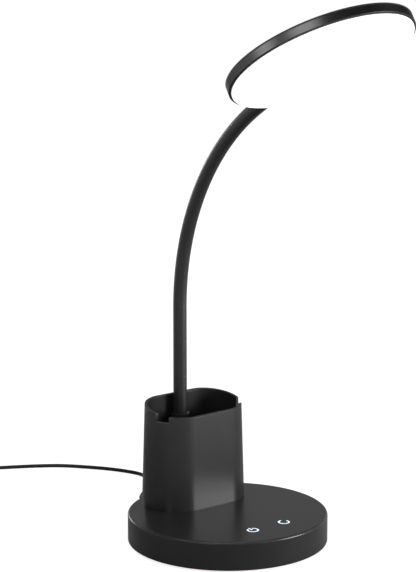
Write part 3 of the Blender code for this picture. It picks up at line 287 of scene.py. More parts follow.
def rounded(corners, closed=False, steps=6):
    """Rounds the corners (u, v, radius) of a profile, with a narrow flat band kept beside each rounding."""
    points = []
    count = len(corners)
    for i, (u, v, radius) in enumerate(corners):
        if radius == 0 or (not closed and i in (0, count - 1)):
            points.append((u, v))
            continue
        here = Vector((u, v))
        back = (Vector(corners[i - 1][:2]) - here).normalized()
        ahead = (Vector(corners[(i + 1) % count][:2]) - here).normalized()
        half = back.angle(ahead) / 2
        reach = radius / math.tan(half)
        centre = here + (back + ahead).normalized() * (radius / math.sin(half))
        first = here + back * reach - centre
        sweep = first.angle_signed(here + ahead * reach - centre)
        begin = math.atan2(first.y, first.x)
        band = min(SUPPORT_BAND, radius / 2)
        points.append(tuple(here + back * (reach + band)))
        points += arc(centre.x, centre.y, radius, begin, begin - sweep, steps)
        points.append(tuple(here + ahead * (reach + band)))
    return points


def loft(rings):
    """A closed body through rings of equal point count, lowest first."""
    built = bmesh.new()
    loops = [[built.verts.new(point) for point in ring] for ring in rings]
    for low, high in zip(loops, loops[1:]):
        for i in range(len(low)):
            ahead = (i + 1) % len(low)
            built.faces.new((low[i], low[ahead], high[ahead], high[i]))
    built.faces.new(list(reversed(loops[0])))
    built.faces.new(loops[-1])
    return built


def prism(outline, bottom, top, x=0.0, y=0.0):
    """A flat outline between two heights."""
    return loft([[(x + u, y + v, z) for u, v in outline] for z in (bottom, top)])


def as_object(name, built, place=Matrix.Identity(4)):
    """A mesh that is finished, as an object in the scene."""
    bmesh.ops.recalc_face_normals(built, faces=built.faces)
    mesh = bpy.data.meshes.new(name)
    built.to_mesh(mesh)
    built.free()
    made = bpy.data.objects.new(name, mesh)
    made.matrix_world = place
    bpy.context.scene.collection.objects.link(made)
    return made


def machine(piece, built, operation="DIFFERENCE", place=Matrix.Identity(4)):
    """Cuts a form out of a piece, or joins it on, for good."""
    tool = as_object("tool", built, place)
    change = piece.modifiers.new("machined", "BOOLEAN")
    change.operation = operation
    change.solver = "EXACT"
    change.object = tool
    bpy.context.view_layer.update()
    shaped = bpy.data.meshes.new_from_object(piece.evaluated_get(bpy.context.evaluated_depsgraph_get()))
    piece.modifiers.clear()
    piece.data = shaped
    bpy.data.objects.remove(tool, do_unlink=True)
    return piece


def soften(piece, width, steps=3, sharper_than=40, keep=lambda edge: True):
    """Rounds over a piece's sharp outer edges."""
    shape = bmesh.new()
    shape.from_mesh(piece.data)
    chosen = [
        edge
        for edge in shape.edges
        if edge.is_convex and edge.calc_face_angle(0) > math.radians(sharper_than) and keep(edge)
    ]
    bmesh.ops.bevel(
        shape, geom=chosen, offset=width, segments=steps, profile=0.5, affect="EDGES", clamp_overlap=True
    )
    shape.to_mesh(piece.data)
    shape.free()


def mark_edges(piece):
    """Marks the rounded-over edges of a piece, where hands and cloths rub it and where the finish paints a
    highlight.
    """
    shape = bmesh.new()
    shape.from_mesh(piece.data)
    rubbed_and_highlit = np.zeros(len(shape.verts), np.float32)
    for edge in shape.edges:
        if edge.is_convex and ROUNDED_EDGE[0] < edge.calc_face_angle(0) < ROUNDED_EDGE[1]:
            for vert in edge.verts:
                rubbed_and_highlit[vert.index] = 1
    shape.free()
    piece.data.attributes.new("edge", "FLOAT", "POINT").data.foreach_set("value", rubbed_and_highlit)


def fit(piece, made, body, slot, *nodes, sharp=35):
    """Gives a piece its smooth shading and finish, and lets it ride in place of its plain solids."""
    piece.data.shade_smooth()
    piece.data.set_sharp_from_angle(angle=math.radians(sharp))
    mark_edges(piece)
    piece.data.materials.clear()
    piece.data.materials.append(made)
    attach(piece, body)
    if nodes:
        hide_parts(*nodes)
    return piece


soft_black = finish(
    "soft_black_rubber", RUBBER_BLACK, roughness=0.55, level=0.3, grain=6e-6, grain_size=3e-4, wear_and_highlight=0.2
)
coil_inner = coil_outer - COIL_TURN_PITCH * turns_per_layer
tie_near = math.sqrt((coil_inner - CORD_RADIUS) ** 2 - (TIE_WIDTH / 2) ** 2) - TIE_GAP
tie_far = coil_outer + CORD_RADIUS + TIE_GAP
tie_low = TIE_FOOT_Z + TIE_THICKNESS
tie_high = COIL_REST_Z + COIL_LAYER_PITCH * (COIL_LAYERS - 1) + CORD_RADIUS + TIE_GAP
tie_outlines = []
for grown in (TIE_THICKNESS, 0):
    corner = TIE_ROUNDING - TIE_THICKNESS + grown
    tie_outlines.append(rounded([
        (tie_near - grown, tie_low - grown, corner),
        (tie_near - grown, tie_high + grown, corner),
        (tie_far + grown, tie_high + grown, corner),
        (tie_far + grown, tie_low - grown, corner),
    ], closed=True))
tie_outside, tie_inside = tie_outlines
tie_place = Matrix.Translation(coil_centre) @ Matrix.Rotation(TIE_TURN, 4, "Z")
tie_place = tie_place @ Matrix.Rotation(quarter, 4, "X")
tie = as_object("coil_strap", prism(tie_outside, -TIE_WIDTH / 2, TIE_WIDTH / 2), tie_place)
machine(tie, prism(tie_inside, -TIE_WIDTH, TIE_WIDTH), place=tie_place)
soften(tie, TIE_THICKNESS / 4)
fit(tie, soft_black, "base", "soft_black_rubber", "cord_tie")

# Plug
# The moulding on the lead's end: a flat grip with grooves across it and a tapered, ringed boot.
# It is moulded round the metal shell in one shot, of a firmer black compound than the lead's jacket.
BOOT_LENGTH = 0.0100
BOOT_TIP_RADIUS = 0.0021
BOOT_ROOT_RADIUS = 0.0031
BOOT_RINGS = 4
BOOT_RING_DEPTH = 0.0004
GRIP_SIZE = (0.0150, 0.0230, 0.0078)
GRIP_ROUNDING = 0.0022
GRIP_GROOVES = 5
GRIP_GROOVE_PITCH = 0.0018
GRIP_GROOVE_DEPTH = 0.0004
SHELL_SIZE = (0.0120, 0.0120, 0.0045)
SHELL_WALL = 0.0004
SHELL_SEAT = 0.0040
ROUND_STEPS = 192
SMALL_STEPS = 64
WELD = 5e-7
MOULDING_BLACK = (0.015, 0.015, 0.016)


def brick(low, high):
    """A plain box between two corners, only used to cut or to start a rounded form."""
    built = bmesh.new()
    bmesh.ops.create_cube(built, size=1)
    bmesh.ops.scale(built, vec=Vector(high) - Vector(low), verts=built.verts)
    bmesh.ops.translate(built, vec=(Vector(low) + Vector(high)) / 2, verts=built.verts)
    return built


def turn(profile, steps=ROUND_STEPS, closed=False):
    """A (radius, height) profile turned about Z."""
    built = bmesh.new()
    ring = [built.verts.new((radius, 0, height)) for radius, height in profile]
    edges = [built.edges.new(pair) for pair in zip(ring, ring[1:])]
    if closed:
        edges.append(built.edges.new((ring[-1], ring[0])))
    bmesh.ops.spin(
        built,
        geom=ring + edges,
        cent=(0, 0, 0),
        axis=(0, 0, 1),
        angle=2 * math.pi,
        steps=steps,
        use_merge=True,
    )
    bmesh.ops.remove_doubles(built, verts=built.verts, dist=WELD)
    return built


def ringed_taper(tip_radius, root_radius, length, rings, depth):
    """The profile of a tapered sleeve with grooves round it, from its root at 0 to its tip."""
    profile = []
    step = length / (2 * rings + 1)
    for i in range(2 * rings + 2):
        along = step * i
        radius = root_radius + (tip_radius - root_radius) * along / length
        if 0 < i < 2 * rings + 1:
            sunk = depth if i % 2 == 0 else 0
            profile += [(radius - sunk, along - step / 6), (radius - sunk, along + step / 6)]
        else:
            profile.append((radius, along))
    return profile


plug_moulding = finish(
    "plug_moulding", MOULDING_BLACK, roughness=0.50, level=0.3, grain=5e-6, grain_size=2.5e-4, wear_and_highlight=0.25
)
plug_place = Matrix.Translation(plug_start) @ Matrix.Rotation(COIL_EXIT_HEADING - quarter, 4, "Z")
grip_end = BOOT_LENGTH + GRIP_SIZE[1]
grip_low = (-GRIP_SIZE[0] / 2, BOOT_LENGTH, -GRIP_SIZE[2] / 2)
grip = as_object("plug_grip", brick(grip_low, (GRIP_SIZE[0] / 2, grip_end, GRIP_SIZE[2] / 2)), plug_place)
soften(grip, GRIP_ROUNDING, steps=6)
boot_taper = ringed_taper(BOOT_TIP_RADIUS, BOOT_ROOT_RADIUS, BOOT_LENGTH, BOOT_RINGS, BOOT_RING_DEPTH)
boot = [(0, BOOT_LENGTH + GRIP_ROUNDING), (BOOT_ROOT_RADIUS, BOOT_LENGTH + GRIP_ROUNDING)]
boot += [(radius, BOOT_LENGTH - along) for radius, along in boot_taper]
boot.append((0, 0))
machine(grip, turn(boot, SMALL_STEPS), "UNION", plug_place @ Matrix.Rotation(-quarter, 4, "X"))
for side in (-1, 1):
    for i in range(GRIP_GROOVES):
        along = BOOT_LENGTH + GRIP_SIZE[1] / 2 + (i - (GRIP_GROOVES - 1) / 2) * GRIP_GROOVE_PITCH
        face = side * GRIP_SIZE[2] / 2
        low = (-GRIP_SIZE[0] / 3, along - GRIP_GROOVE_PITCH / 4, face - GRIP_GROOVE_DEPTH)
        high = (GRIP_SIZE[0] / 3, along + GRIP_GROOVE_PITCH / 4, face + GRIP_GROOVE_DEPTH)
        machine(grip, brick(low, high), place=plug_place)
pocket_low = (-SHELL_SIZE[0] / 2, grip_end - SHELL_SEAT, -SHELL_SIZE[2] / 2)
pocket_high = (SHELL_SIZE[0] / 2, grip_end + SHELL_SEAT, SHELL_SIZE[2] / 2)
machine(grip, brick(pocket_low, pocket_high), place=plug_place)
fit(grip, plug_moulding, "base", "plug_moulding", "usb_plug_body")

# Plug shell
# The plug's metal shell, 0.4 mm steel strip folded round into a flat tube and zinc plated.
# Two square windows in each broad side catch the springs of a socket.
WINDOW_SIZE = 0.0022
WINDOW_X = 0.0027
WINDOW_SETBACK = 0.0054
SHELL_BEND = 0.0005
PLATED_GREY = (0.60, 0.60, 0.58)

plated_steel = finish(
    "zinc_plated_steel", PLATED_GREY, roughness=0.33, metallic=1.0, mottle=0.08, grain=1e-6, grain_size=2e-4
)
shell_mouth = grip_end + SHELL_SIZE[1]
shell_half = Vector((SHELL_SIZE[0] / 2, 0, SHELL_SIZE[2] / 2))
shell_low = (-shell_half.x, grip_end - SHELL_SEAT, -shell_half.z)
shell = as_object("plug_shell", brick(shell_low, (shell_half.x, shell_mouth, shell_half.z)), plug_place)
soften(
    shell,
    SHELL_BEND,
    steps=4,
    keep=lambda edge: abs(edge.verts[0].co.y - edge.verts[1].co.y) > SHELL_SIZE[1],
)
inner = shell_half - Vector((SHELL_WALL, 0, SHELL_WALL))
hollow_low = (-inner.x, shell_low[1] - SHELL_WALL, -inner.z)
machine(shell, brick(hollow_low, (inner.x, shell_mouth + SHELL_WALL, inner.z)), place=plug_place)
for x in (-WINDOW_X, WINDOW_X):
    low = (x - WINDOW_SIZE / 2, shell_mouth - WINDOW_SETBACK - WINDOW_SIZE, -SHELL_SIZE[2])
    high = (x + WINDOW_SIZE / 2, shell_mouth - WINDOW_SETBACK, SHELL_SIZE[2])
    machine(shell, brick(low, high), place=plug_place)
fit(shell, plated_steel, "base", "zinc_plated_steel", "usb_plug_shell")

# Plug contacts
# The white insulator inside the shell, with four gold-plated contact strips pressed into it.
# The two outer strips reach further forward, so that they make contact first.
TONGUE_GAP = 0.0003
TONGUE_THICKNESS = 0.0018
TONGUE_SETBACK = 0.0012
CONTACT_WIDTH = 0.0010
CONTACT_HEIGHT = 0.0001
CONTACT_PLACES = ((-0.0035, 0.0074), (-0.0010, 0.0064), (0.0010, 0.0064), (0.0035, 0.0074))
INSULATOR_WHITE = (0.78, 0.78, 0.75)
CONTACT_GOLD = (0.83, 0.60, 0.24)

insulator = finish("contact_insulator", INSULATOR_WHITE, roughness=0.45, mottle=0.03)
tongue_low, tongue_high = TONGUE_GAP - inner.z, inner.z - TONGUE_GAP
tongue_end = shell_mouth - TONGUE_SETBACK
tongue_side = inner.x - TONGUE_GAP
tongue_corner = (-tongue_side, shell_low[1], tongue_low)
tongue_blade = brick(tongue_corner, (tongue_side, tongue_end, tongue_low + TONGUE_THICKNESS))
tongue = as_object("contact_tongue", tongue_blade, plug_place)
machine(tongue, brick(tongue_corner, (tongue_side, grip_end, tongue_high)), "UNION", plug_place)
soften(tongue, CONTACT_HEIGHT, steps=2)
fit(tongue, insulator, "base", "contact_insulator", "usb_plug_tongue")
gold = finish("gold_contact", CONTACT_GOLD, roughness=0.28, metallic=1.0, mottle=0.05)
contacts = bmesh.new()
for x, length in CONTACT_PLACES:
    place = (x, grip_end + length / 2 + TONGUE_SETBACK, tongue_low + TONGUE_THICKNESS)
    size = (CONTACT_WIDTH, length, 2 * CONTACT_HEIGHT)
    bmesh.ops.create_cube(contacts, size=1, matrix=Matrix.Translation(place) @ Matrix.Diagonal((*size, 1)))
contact_strips = as_object("contact_strips", contacts, plug_place)
soften(contact_strips, CONTACT_HEIGHT / 2, steps=2)
fit(contact_strips, gold, "base", None)

# Base cover
# The round casing, moulded in black ABS with a fine satin spark texture on the outside.
# Posts for the plate's screws and pegs for the touch board stand under its top.
BASE_RADIUS = 0.0700
BASE_TOP_Z = 0.0210
BASE_EDGE_Z = 0.0010
BASE_WALL = 0.0022
BASE_TOP_FILLET = 0.0016
BASE_EDGE_FILLET = 0.0010
POST_PLACES = [(x, y) for x in (-0.0393, 0.0393) for y in (-0.0275, 0.0275)]
POST_RADIUS = 0.0035
POST_FOOT_Z = 0.0051
POST_PILOT = (0.0013, 0.0160)
PEG_X = 0.0240
PEG_RADIUS = 0.0025
PEG_FOOT_Z = 0.0145
PEG_PILOT = (0.0009, 0.0166)
CORD_HOLE_RADIUS = 0.0028
CORD_EXIT_Z = 0.0090
ICON_X = 0.0140
ICON_Y = -0.0437
ICON_RADIUS = 0.0036
ICON_STROKE = 0.0011
ICON_CLEARANCE = 0.00004
POWER_OPENING = math.radians(70)
POWER_BAR = (0.0007, 0.0044)
MODE_OPENING = math.radians(74)
MODE_TURN = math.radians(50)
CUP_Y = 0.0383
CUP_SCREW_X = 0.0220
CUP_SCREW_HOLE_RADIUS = 0.0018
NECK_Y = 0.0533
NECK_HOLE_RADIUS = 0.0038
ROD_STEPS = 48
CAP_STEPS = 8
SATIN_BLACK = (0.018, 0.018, 0.019)


def rod(radius, bottom, top, x=0.0, y=0.0, tip_radius=None, steps=ROD_STEPS):
    """An upright round bar between two heights, which may taper to its tip."""
    built = bmesh.new()
    bmesh.ops.create_cone(
        built,
        cap_ends=True,
        segments=steps,
        radius1=radius,
        radius2=radius if tip_radius is None else tip_radius,
        depth=top - bottom,
        matrix=Matrix.Translation((x, y, (top + bottom) / 2)),
    )
    return built


def stroke(radius, width, start, end, steps=ROD_STEPS):
    """The outline of a curved stroke with round ends."""
    half = width / 2
    outer = arc(0, 0, radius + half, start, end, steps)
    inner = arc(0, 0, radius - half, end, start, steps)
    last_u, last_v = radius * math.cos(end), radius * math.sin(end)
    last_cap = arc(last_u, last_v, half, end, end + math.pi, CAP_STEPS)
    first_u, first_v = radius * math.cos(start), radius * math.sin(start)
    first_cap = arc(first_u, first_v, half, start + math.pi, start + 2 * math.pi, CAP_STEPS)
    return outer + last_cap[1:-1] + inner + first_cap[1:-1]


satin_black = finish(
    "satin_black_plastic",
    SATIN_BLACK,
    roughness=0.30,
    level=0.32,
    mottle=0.06,
    grain=1.5e-6,
    grain_size=2.5e-4,
    wear_and_highlight=0.3,
)
cover_profile = rounded([
    (0, BASE_TOP_Z, 0),
    (BASE_RADIUS, BASE_TOP_Z, BASE_TOP_FILLET),
    (BASE_RADIUS, BASE_EDGE_Z, BASE_EDGE_FILLET),
    (BASE_RADIUS - BASE_WALL, BASE_EDGE_Z, 0),
    (BASE_RADIUS - BASE_WALL, BASE_TOP_Z - BASE_WALL, 0),
    (0, BASE_TOP_Z - BASE_WALL, 0),
])
cover = as_object("base_casing", turn(cover_profile))
post_root_z = BASE_TOP_Z - BASE_WALL / 2
for x, y in POST_PLACES:
    machine(cover, rod(POST_RADIUS, POST_FOOT_Z, post_root_z, x, y), "UNION")
    machine(cover, rod(POST_PILOT[0], 0, POST_PILOT[1], x, y))
for x in (-PEG_X, PEG_X):
    machine(cover, rod(PEG_RADIUS, PEG_FOOT_Z, post_root_z, x, ICON_Y), "UNION")
    machine(cover, rod(PEG_PILOT[0], 0, PEG_PILOT[1], x, ICON_Y))
through_top = (BASE_TOP_Z - 2 * BASE_WALL, BASE_TOP_Z + BASE_WALL)
for x in (-CUP_SCREW_X, CUP_SCREW_X):
    machine(cover, rod(CUP_SCREW_HOLE_RADIUS, *through_top, x, CUP_Y))
machine(cover, rod(NECK_HOLE_RADIUS, *through_top, 0, NECK_Y))
in_rear_wall = Matrix.Translation((0, BASE_RADIUS - BASE_WALL / 2, CORD_EXIT_Z))
cord_hole = rod(CORD_HOLE_RADIUS, -2 * BASE_WALL, 2 * BASE_WALL)
machine(cover, cord_hole, place=in_rear_wall @ Matrix.Rotation(quarter, 4, "X"))
power_bar = arc(0, POWER_BAR[1], ICON_STROKE / 2 + ICON_CLEARANCE, 0, math.pi, CAP_STEPS)
power_bar += arc(0, POWER_BAR[0], ICON_STROKE / 2 + ICON_CLEARANCE, math.pi, 2 * math.pi, CAP_STEPS)
slot_width = ICON_STROKE + 2 * ICON_CLEARANCE
power_ring = stroke(ICON_RADIUS, slot_width, quarter + POWER_OPENING / 2, 5 * quarter - POWER_OPENING / 2)
mode_ring = stroke(
    ICON_RADIUS, slot_width, MODE_TURN + MODE_OPENING / 2, MODE_TURN - MODE_OPENING / 2 + 2 * math.pi
)
for x, outline in ((-ICON_X, power_ring), (-ICON_X, power_bar), (ICON_X, mode_ring)):
    machine(cover, prism(outline, *through_top, x, ICON_Y))
fit(cover, satin_black, "base", "satin_black_plastic", "base_cover")

# Strain relief
# A tapered sleeve of soft black rubber with rings round it, which stops the lead from kinking.
# A flange inside the rear wall holds it, and it is pushed through from inside before the lead.
RELIEF_LENGTH = 0.0170
RELIEF_TIP_RADIUS = 0.0021
RELIEF_ROOT_RADIUS = 0.0034
RELIEF_RINGS = 4
RELIEF_RING_DEPTH = 0.0004
RELIEF_NECK_RADIUS = 0.0025
RELIEF_FLANGE_RADIUS = 0.0036
RELIEF_FLANGE = 0.0014
RELIEF_GAP = 0.0003
MIDDLE_STEPS = 96

relief_out = BASE_RADIUS + RELIEF_GAP
relief_in = BASE_RADIUS - BASE_WALL - RELIEF_GAP
relief_profile = [
    (0, relief_in - RELIEF_FLANGE),
    (RELIEF_FLANGE_RADIUS, relief_in - RELIEF_FLANGE),
    (RELIEF_FLANGE_RADIUS, relief_in),
    (RELIEF_NECK_RADIUS, relief_in),
    (RELIEF_NECK_RADIUS, relief_out),
]
relief_taper = ringed_taper(
    RELIEF_TIP_RADIUS, RELIEF_ROOT_RADIUS, RELIEF_LENGTH, RELIEF_RINGS, RELIEF_RING_DEPTH
)
relief_profile += [(radius, relief_out + along) for radius, along in relief_taper]
relief_profile.append((0, relief_out + RELIEF_LENGTH))
relief_place = Matrix.Translation((0, 0, CORD_EXIT_Z)) @ Matrix.Rotation(-quarter, 4, "X")
relief = as_object("strain_relief", turn(relief_profile, MIDDLE_STEPS), relief_place)
fit(relief, soft_black, "base", "soft_black_rubber", "cord_grommet")

# Touch icons
# Clear light guides behind the two touch keys; their raised symbols stand flush in the cover's top.
# A small light on the board shines through them, a cool white.
ICON_LIGHT = (0.70, 0.86, 1.00)
ICON_GLOW = 0.95


def paint(made, *names):
    """Gives solids of the frame that keep their shape a better finish."""
    for name in names:
        for place in frame["nodes"][name].material_slots:
            place.material = made


icon_guide = finish("icon_light_guide", ICON_LIGHT, roughness=0.30, mottle=0.04)
tree = icon_guide.node_tree
icon_glow = {"Emission Color": (*ICON_LIGHT, 1), "Emission Strength": ICON_GLOW}
feed(tree, tree.nodes["Principled BSDF"], icon_glow)
paint(icon_guide, "power_icon_light", "mode_icon_light")

# Touch board
# A fibreglass board with a green coating, held under the cover's top by two small screws.
# A conical spring of steel wire under each key brings the finger's charge down to the board.
SPRING_WIRE_RADIUS = 0.0003
SPRING_RADII = (0.0042, 0.0022)
SPRING_HEIGHTS = (0.0148, 0.0164)
SPRING_TURNS = 2.5
SPRING_POINTS_PER_TURN = 36
BOARD_SCREW = (0.0022, 0.0013, 0.0010, 0.0040)
BOARD_SCREW_SEAT_Z = 0.0123
THREAD_PITCH = 0.0007
THREAD_ROOT_SHARE = 0.8
RECESS_SHARES = (0.58, 0.17, 0.55)
BOARD_GREEN = (0.020, 0.125, 0.052)

board_green = finish("circuit_board", BOARD_GREEN, roughness=0.40, mottle=0.15, grain_size=5e-4)
paint(board_green, "control_board")
for name, x in (("power", -ICON_X), ("mode", ICON_X)):
    points = []
    for share in np.linspace(0, 1, round(SPRING_TURNS * SPRING_POINTS_PER_TURN) + 1):
        radius = SPRING_RADII[0] + (SPRING_RADII[1] - SPRING_RADII[0]) * share
        out = heading(2 * math.pi * SPRING_TURNS * share) * radius
        height = SPRING_HEIGHTS[0] + (SPRING_HEIGHTS[1] - SPRING_HEIGHTS[0]) * share
        points.append(Vector((x, ICON_Y, height)) + out)
    spring = wire(f"{name}_touch_spring", points, SPRING_WIRE_RADIUS, roundness=3)
    spring.data.materials.append(plated_steel)
    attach(spring, "base")
    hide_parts(f"touch_spring_{name}")


def drive_screw(name, size, place, body, node):
    """A pan-head screw with a cross recess; the face under its head is at height 0, its shaft above."""
    head_radius, head_height, shaft_radius, length = size
    profile = [(0, length), (shaft_radius / 3, length)]
    pitches = int((length - shaft_radius) / THREAD_PITCH)
    top = length - shaft_radius
    for i in range(pitches):
        crest = top - THREAD_PITCH * i
        profile += [(shaft_radius, crest), (shaft_radius * THREAD_ROOT_SHARE, crest - THREAD_PITCH / 2)]
    profile += [(shaft_radius, 0), (head_radius, 0)]
    profile += arc(head_radius - head_height / 2, -head_height / 2, head_height / 2, 0, -quarter, steps=5)
    profile.append((0, -head_height))
    screw = as_object(name, turn(profile, ROD_STEPS), place)
    reach, width, depth = (share * head_radius for share in RECESS_SHARES)
    for long_x, long_y in ((reach, width), (width, reach)):
        low = (-long_x, -long_y, -head_height - depth)
        machine(screw, brick(low, (long_x, long_y, depth - head_height)), place=place)
    return fit(screw, plated_steel, body, "zinc_plated_steel", node)


for number, x in enumerate((-PEG_X, PEG_X), 1):
    drive_screw(
        f"touch_board_screw_{number}",
        BOARD_SCREW,
        Matrix.Translation((x, ICON_Y, BOARD_SCREW_SEAT_Z)),
        "base",
        f"board_screw_{number}",
    )

# Pen cup
# A tall oblong cup, injection moulded with a draft, its rim cut on a slant and rounded over.
# A slot through both end walls holds a phone upright; the boss inside takes the neck.
CUP_BOTTOM_Z = 0.02103
CUP_DATUM_Z = 0.0213
CUP_HALF_STRAIGHT = 0.0162
CUP_END_RADIUS = 0.0239
CUP_DRAFT = math.radians(1.76)
CUP_WALL = 0.0020
CUP_FLOOR_Z = 0.0247
CUP_FLOOR_FILLET = 0.0012
CUP_FRONT_HEIGHT = 0.0662
CUP_TALL = 0.0800
CUP_RIM_SLOPE = math.radians(9.5)
CUP_RIM_ROUNDING = 0.0005
CUP_END_STEPS = 60
CUP_END_BAND = 0.0004
CUP_RINGS = 24
CUP_FILLET_RINGS = 6
CUP_RIM_MARGIN = 1e-5
CUP_PILOT = (0.0012, 0.0236)
SLOT_SETBACK = 0.0096
SLOT_WIDTH = 0.0088
SLOT_DEPTH = 0.0050
NECK_BORE = 0.00515
BOSS_RADII = (0.0072, 0.0066)
BOSS_TOP_Z = 0.0813
OVERRUN = 0.0020
CUP_REACH = CUP_HALF_STRAIGHT + CUP_END_RADIUS + OVERRUN


def cup_ring(z, inset=0.0):
    """The cup's outline at a height, drawn in by its draft and an inset."""
    radius = CUP_END_RADIUS - (z - CUP_DATUM_Z) * math.tan(CUP_DRAFT) - inset
    band = CUP_HALF_STRAIGHT - CUP_END_BAND
    outline = [(band, -radius), *arc(CUP_HALF_STRAIGHT, 0, radius, -quarter, quarter, CUP_END_STEPS)]
    outline += [(band, radius), (-band, radius)]
    outline += [*arc(-CUP_HALF_STRAIGHT, 0, radius, quarter, 3 * quarter, CUP_END_STEPS), (-band, -radius)]
    return [(u, CUP_Y + v, z) for u, v in outline]


cup_front_y = CUP_Y - CUP_END_RADIUS
cup_tallest_z = CUP_DATUM_Z + CUP_TALL
rim_front_z = CUP_DATUM_Z + CUP_FRONT_HEIGHT
outside = [cup_ring(z) for z in np.linspace(CUP_BOTTOM_Z, cup_tallest_z, CUP_RINGS)]
cup = as_object("pen_cup_moulding", loft(outside))
inside = []
for lift in np.linspace(0, quarter, CUP_FILLET_RINGS):
    inset = CUP_WALL + CUP_FLOOR_FILLET * (1 - math.sin(lift))
    inside.append(cup_ring(CUP_FLOOR_Z + CUP_FLOOR_FILLET * (1 - math.cos(lift)), inset))
for z in np.linspace(CUP_FLOOR_Z + CUP_FLOOR_FILLET, cup_tallest_z + OVERRUN, CUP_RINGS)[1:]:
    inside.append(cup_ring(z, CUP_WALL))
machine(cup, loft(inside))
boss_root_z = CUP_FLOOR_Z - CUP_WALL / 2
boss = rod(BOSS_RADII[0], boss_root_z, BOSS_TOP_Z, 0, NECK_Y, tip_radius=BOSS_RADII[1], steps=SMALL_STEPS)
machine(cup, boss, "UNION")
machine(cup, rod(NECK_BORE, CUP_FLOOR_Z, cup_tallest_z + 2 * OVERRUN, 0, NECK_Y, steps=SMALL_STEPS))
machine(cup, rod(NECK_HOLE_RADIUS, CUP_BOTTOM_Z - OVERRUN, CUP_FLOOR_Z + OVERRUN, 0, NECK_Y))
for x in (-CUP_SCREW_X, CUP_SCREW_X):
    machine(cup, rod(CUP_PILOT[0], CUP_BOTTOM_Z - OVERRUN, CUP_PILOT[1], x, CUP_Y))
rim_plane = Matrix.Translation((0, cup_front_y, rim_front_z)) @ Matrix.Rotation(CUP_RIM_SLOPE, 4, "X")
above_rim = brick((-CUP_REACH, -CUP_END_RADIUS, 0), (CUP_REACH, 3 * CUP_END_RADIUS, CUP_TALL))
machine(cup, above_rim, place=rim_plane)
slot_y = CUP_Y - SLOT_SETBACK
slot_floor_z = rim_front_z + (slot_y - cup_front_y) * math.tan(CUP_RIM_SLOPE) - SLOT_DEPTH
slot_low = (-CUP_REACH, slot_y - SLOT_WIDTH / 2, slot_floor_z)
machine(cup, brick(slot_low, (CUP_REACH, slot_y + SLOT_WIDTH / 2, cup_tallest_z)))
rim_starts_z = slot_floor_z - CUP_RIM_MARGIN
soften(
    cup,
    CUP_RIM_ROUNDING,
    steps=4,
    keep=lambda edge: min(vert.co.z for vert in edge.verts) > rim_starts_z,
)
fit(cup, satin_black, "base", "satin_black_plastic", "pen_cup")

# Cup screws
# Two pan-head screws of plated steel, driven from inside the base up into the cup's floor.
CUP_SCREW = (0.0030, 0.0018, 0.0015, 0.0050)
CUP_SCREW_SEAT_Z = 0.0185

for number, x in enumerate((-CUP_SCREW_X, CUP_SCREW_X), 1):
    drive_screw(
        f"cup_floor_screw_{number}",
        CUP_SCREW,
        Matrix.Translation((x, CUP_Y, CUP_SCREW_SEAT_Z)),
        "base",
        f"cup_screw_{number}",
    )

# Neck fixing
# The threaded steel end of the gooseneck, which passes through the cup's floor and the cover.
# A washer and a hexagon nut hold it from inside the base.
NECK_THREAD = (0.0035, 0.0126, 0.0252)
NECK_THREAD_PITCH = 0.0010

thread_radius, thread_low, thread_high = NECK_THREAD
root_radius = thread_radius - NECK_THREAD_PITCH / 2
thread_profile = [(0, thread_low), (root_radius, thread_low)]
for i in range(int((thread_high - thread_low) / NECK_THREAD_PITCH) - 1):
    crest = thread_low + NECK_THREAD_PITCH * (i + 1 / 2)
    thread_profile += [(thread_radius, crest), (root_radius, crest + NECK_THREAD_PITCH / 2)]
thread_profile += [(thread_radius, thread_high - NECK_THREAD_PITCH), (thread_radius, thread_high)]
thread_profile.append((0, thread_high))
thread = as_object("neck_thread", turn(thread_profile, SMALL_STEPS), Matrix.Translation((0, NECK_Y, 0)))
fit(thread, plated_steel, "base", "zinc_plated_steel", "neck_stem", sharp=25)
paint(plated_steel, "neck_washer", "neck_nut")

# Neck
# A flexible steel gooseneck under a smooth black silicone sleeve, which stands in the cup's boss.
# The sleeve is cut at every joint; each length ends in a ball that turns in the next one's hollow.
NECK_RADIUS = 0.00485
NECK_FOOT_Z = 0.0252
NECK_STRAIGHT_TOP_Z = 0.1580
NECK_BEND_RADIUS = 0.1750
NECK_REACH = 0.0099
NECK_SIDES = 64
NECK_RING_STEP = 0.0012
NECK_CUT = 0.00068
NECK_BALL_RADIUS = 0.00486
NECK_HOLLOW_RADIUS = 0.00489
NECK_BALL_STEPS = 20
NECK_POLE_SHARE = 0.97
NECK_SHARP_EDGE = math.radians(50)
SLEEVE_BLACK = (0.022, 0.022, 0.023)
HEAD_TILT = math.radians(32.1)

neck_joints = frame["joints"]
neck_foot = neck_joints[0]["pos_m"]
neck_bend_start = NECK_STRAIGHT_TOP_Z - neck_foot[2]
neck_lean = quarter - HEAD_TILT
neck_pitch = (neck_bend_start + NECK_BEND_RADIUS * neck_lean) / (len(neck_joints) - 1)


def neck_place(length):
    """A place on the neck's middle line, this far above the first joint, and its lean."""
    lean = min(max(0.0, (length - neck_bend_start) / NECK_BEND_RADIUS), neck_lean)
    straight = min(length, neck_bend_start)
    beyond = length - straight - lean * NECK_BEND_RADIUS
    y = NECK_Y - NECK_BEND_RADIUS * (1 - math.cos(lean)) - beyond * math.sin(lean)
    z = neck_foot[2] + straight + NECK_BEND_RADIUS * math.sin(lean) + beyond * math.cos(lean)
    return Vector((0, y, z)), lean


def neck_ring(length, radius, above=0.0):
    """A ring round the neck's middle line, or this far above it along the neck's lean there."""
    place, lean = neck_place(length)
    along = Vector((0, -math.sin(lean), math.cos(lean)))
    across = Vector((0, math.cos(lean), math.sin(lean)))
    sideways = Vector((1, 0, 0))
    angles = np.linspace(0, 2 * math.pi, NECK_SIDES, endpoint=False)
    return [
        place + along * above + radius * (math.cos(angle) * sideways + math.sin(angle) * across)
        for angle in angles
    ]


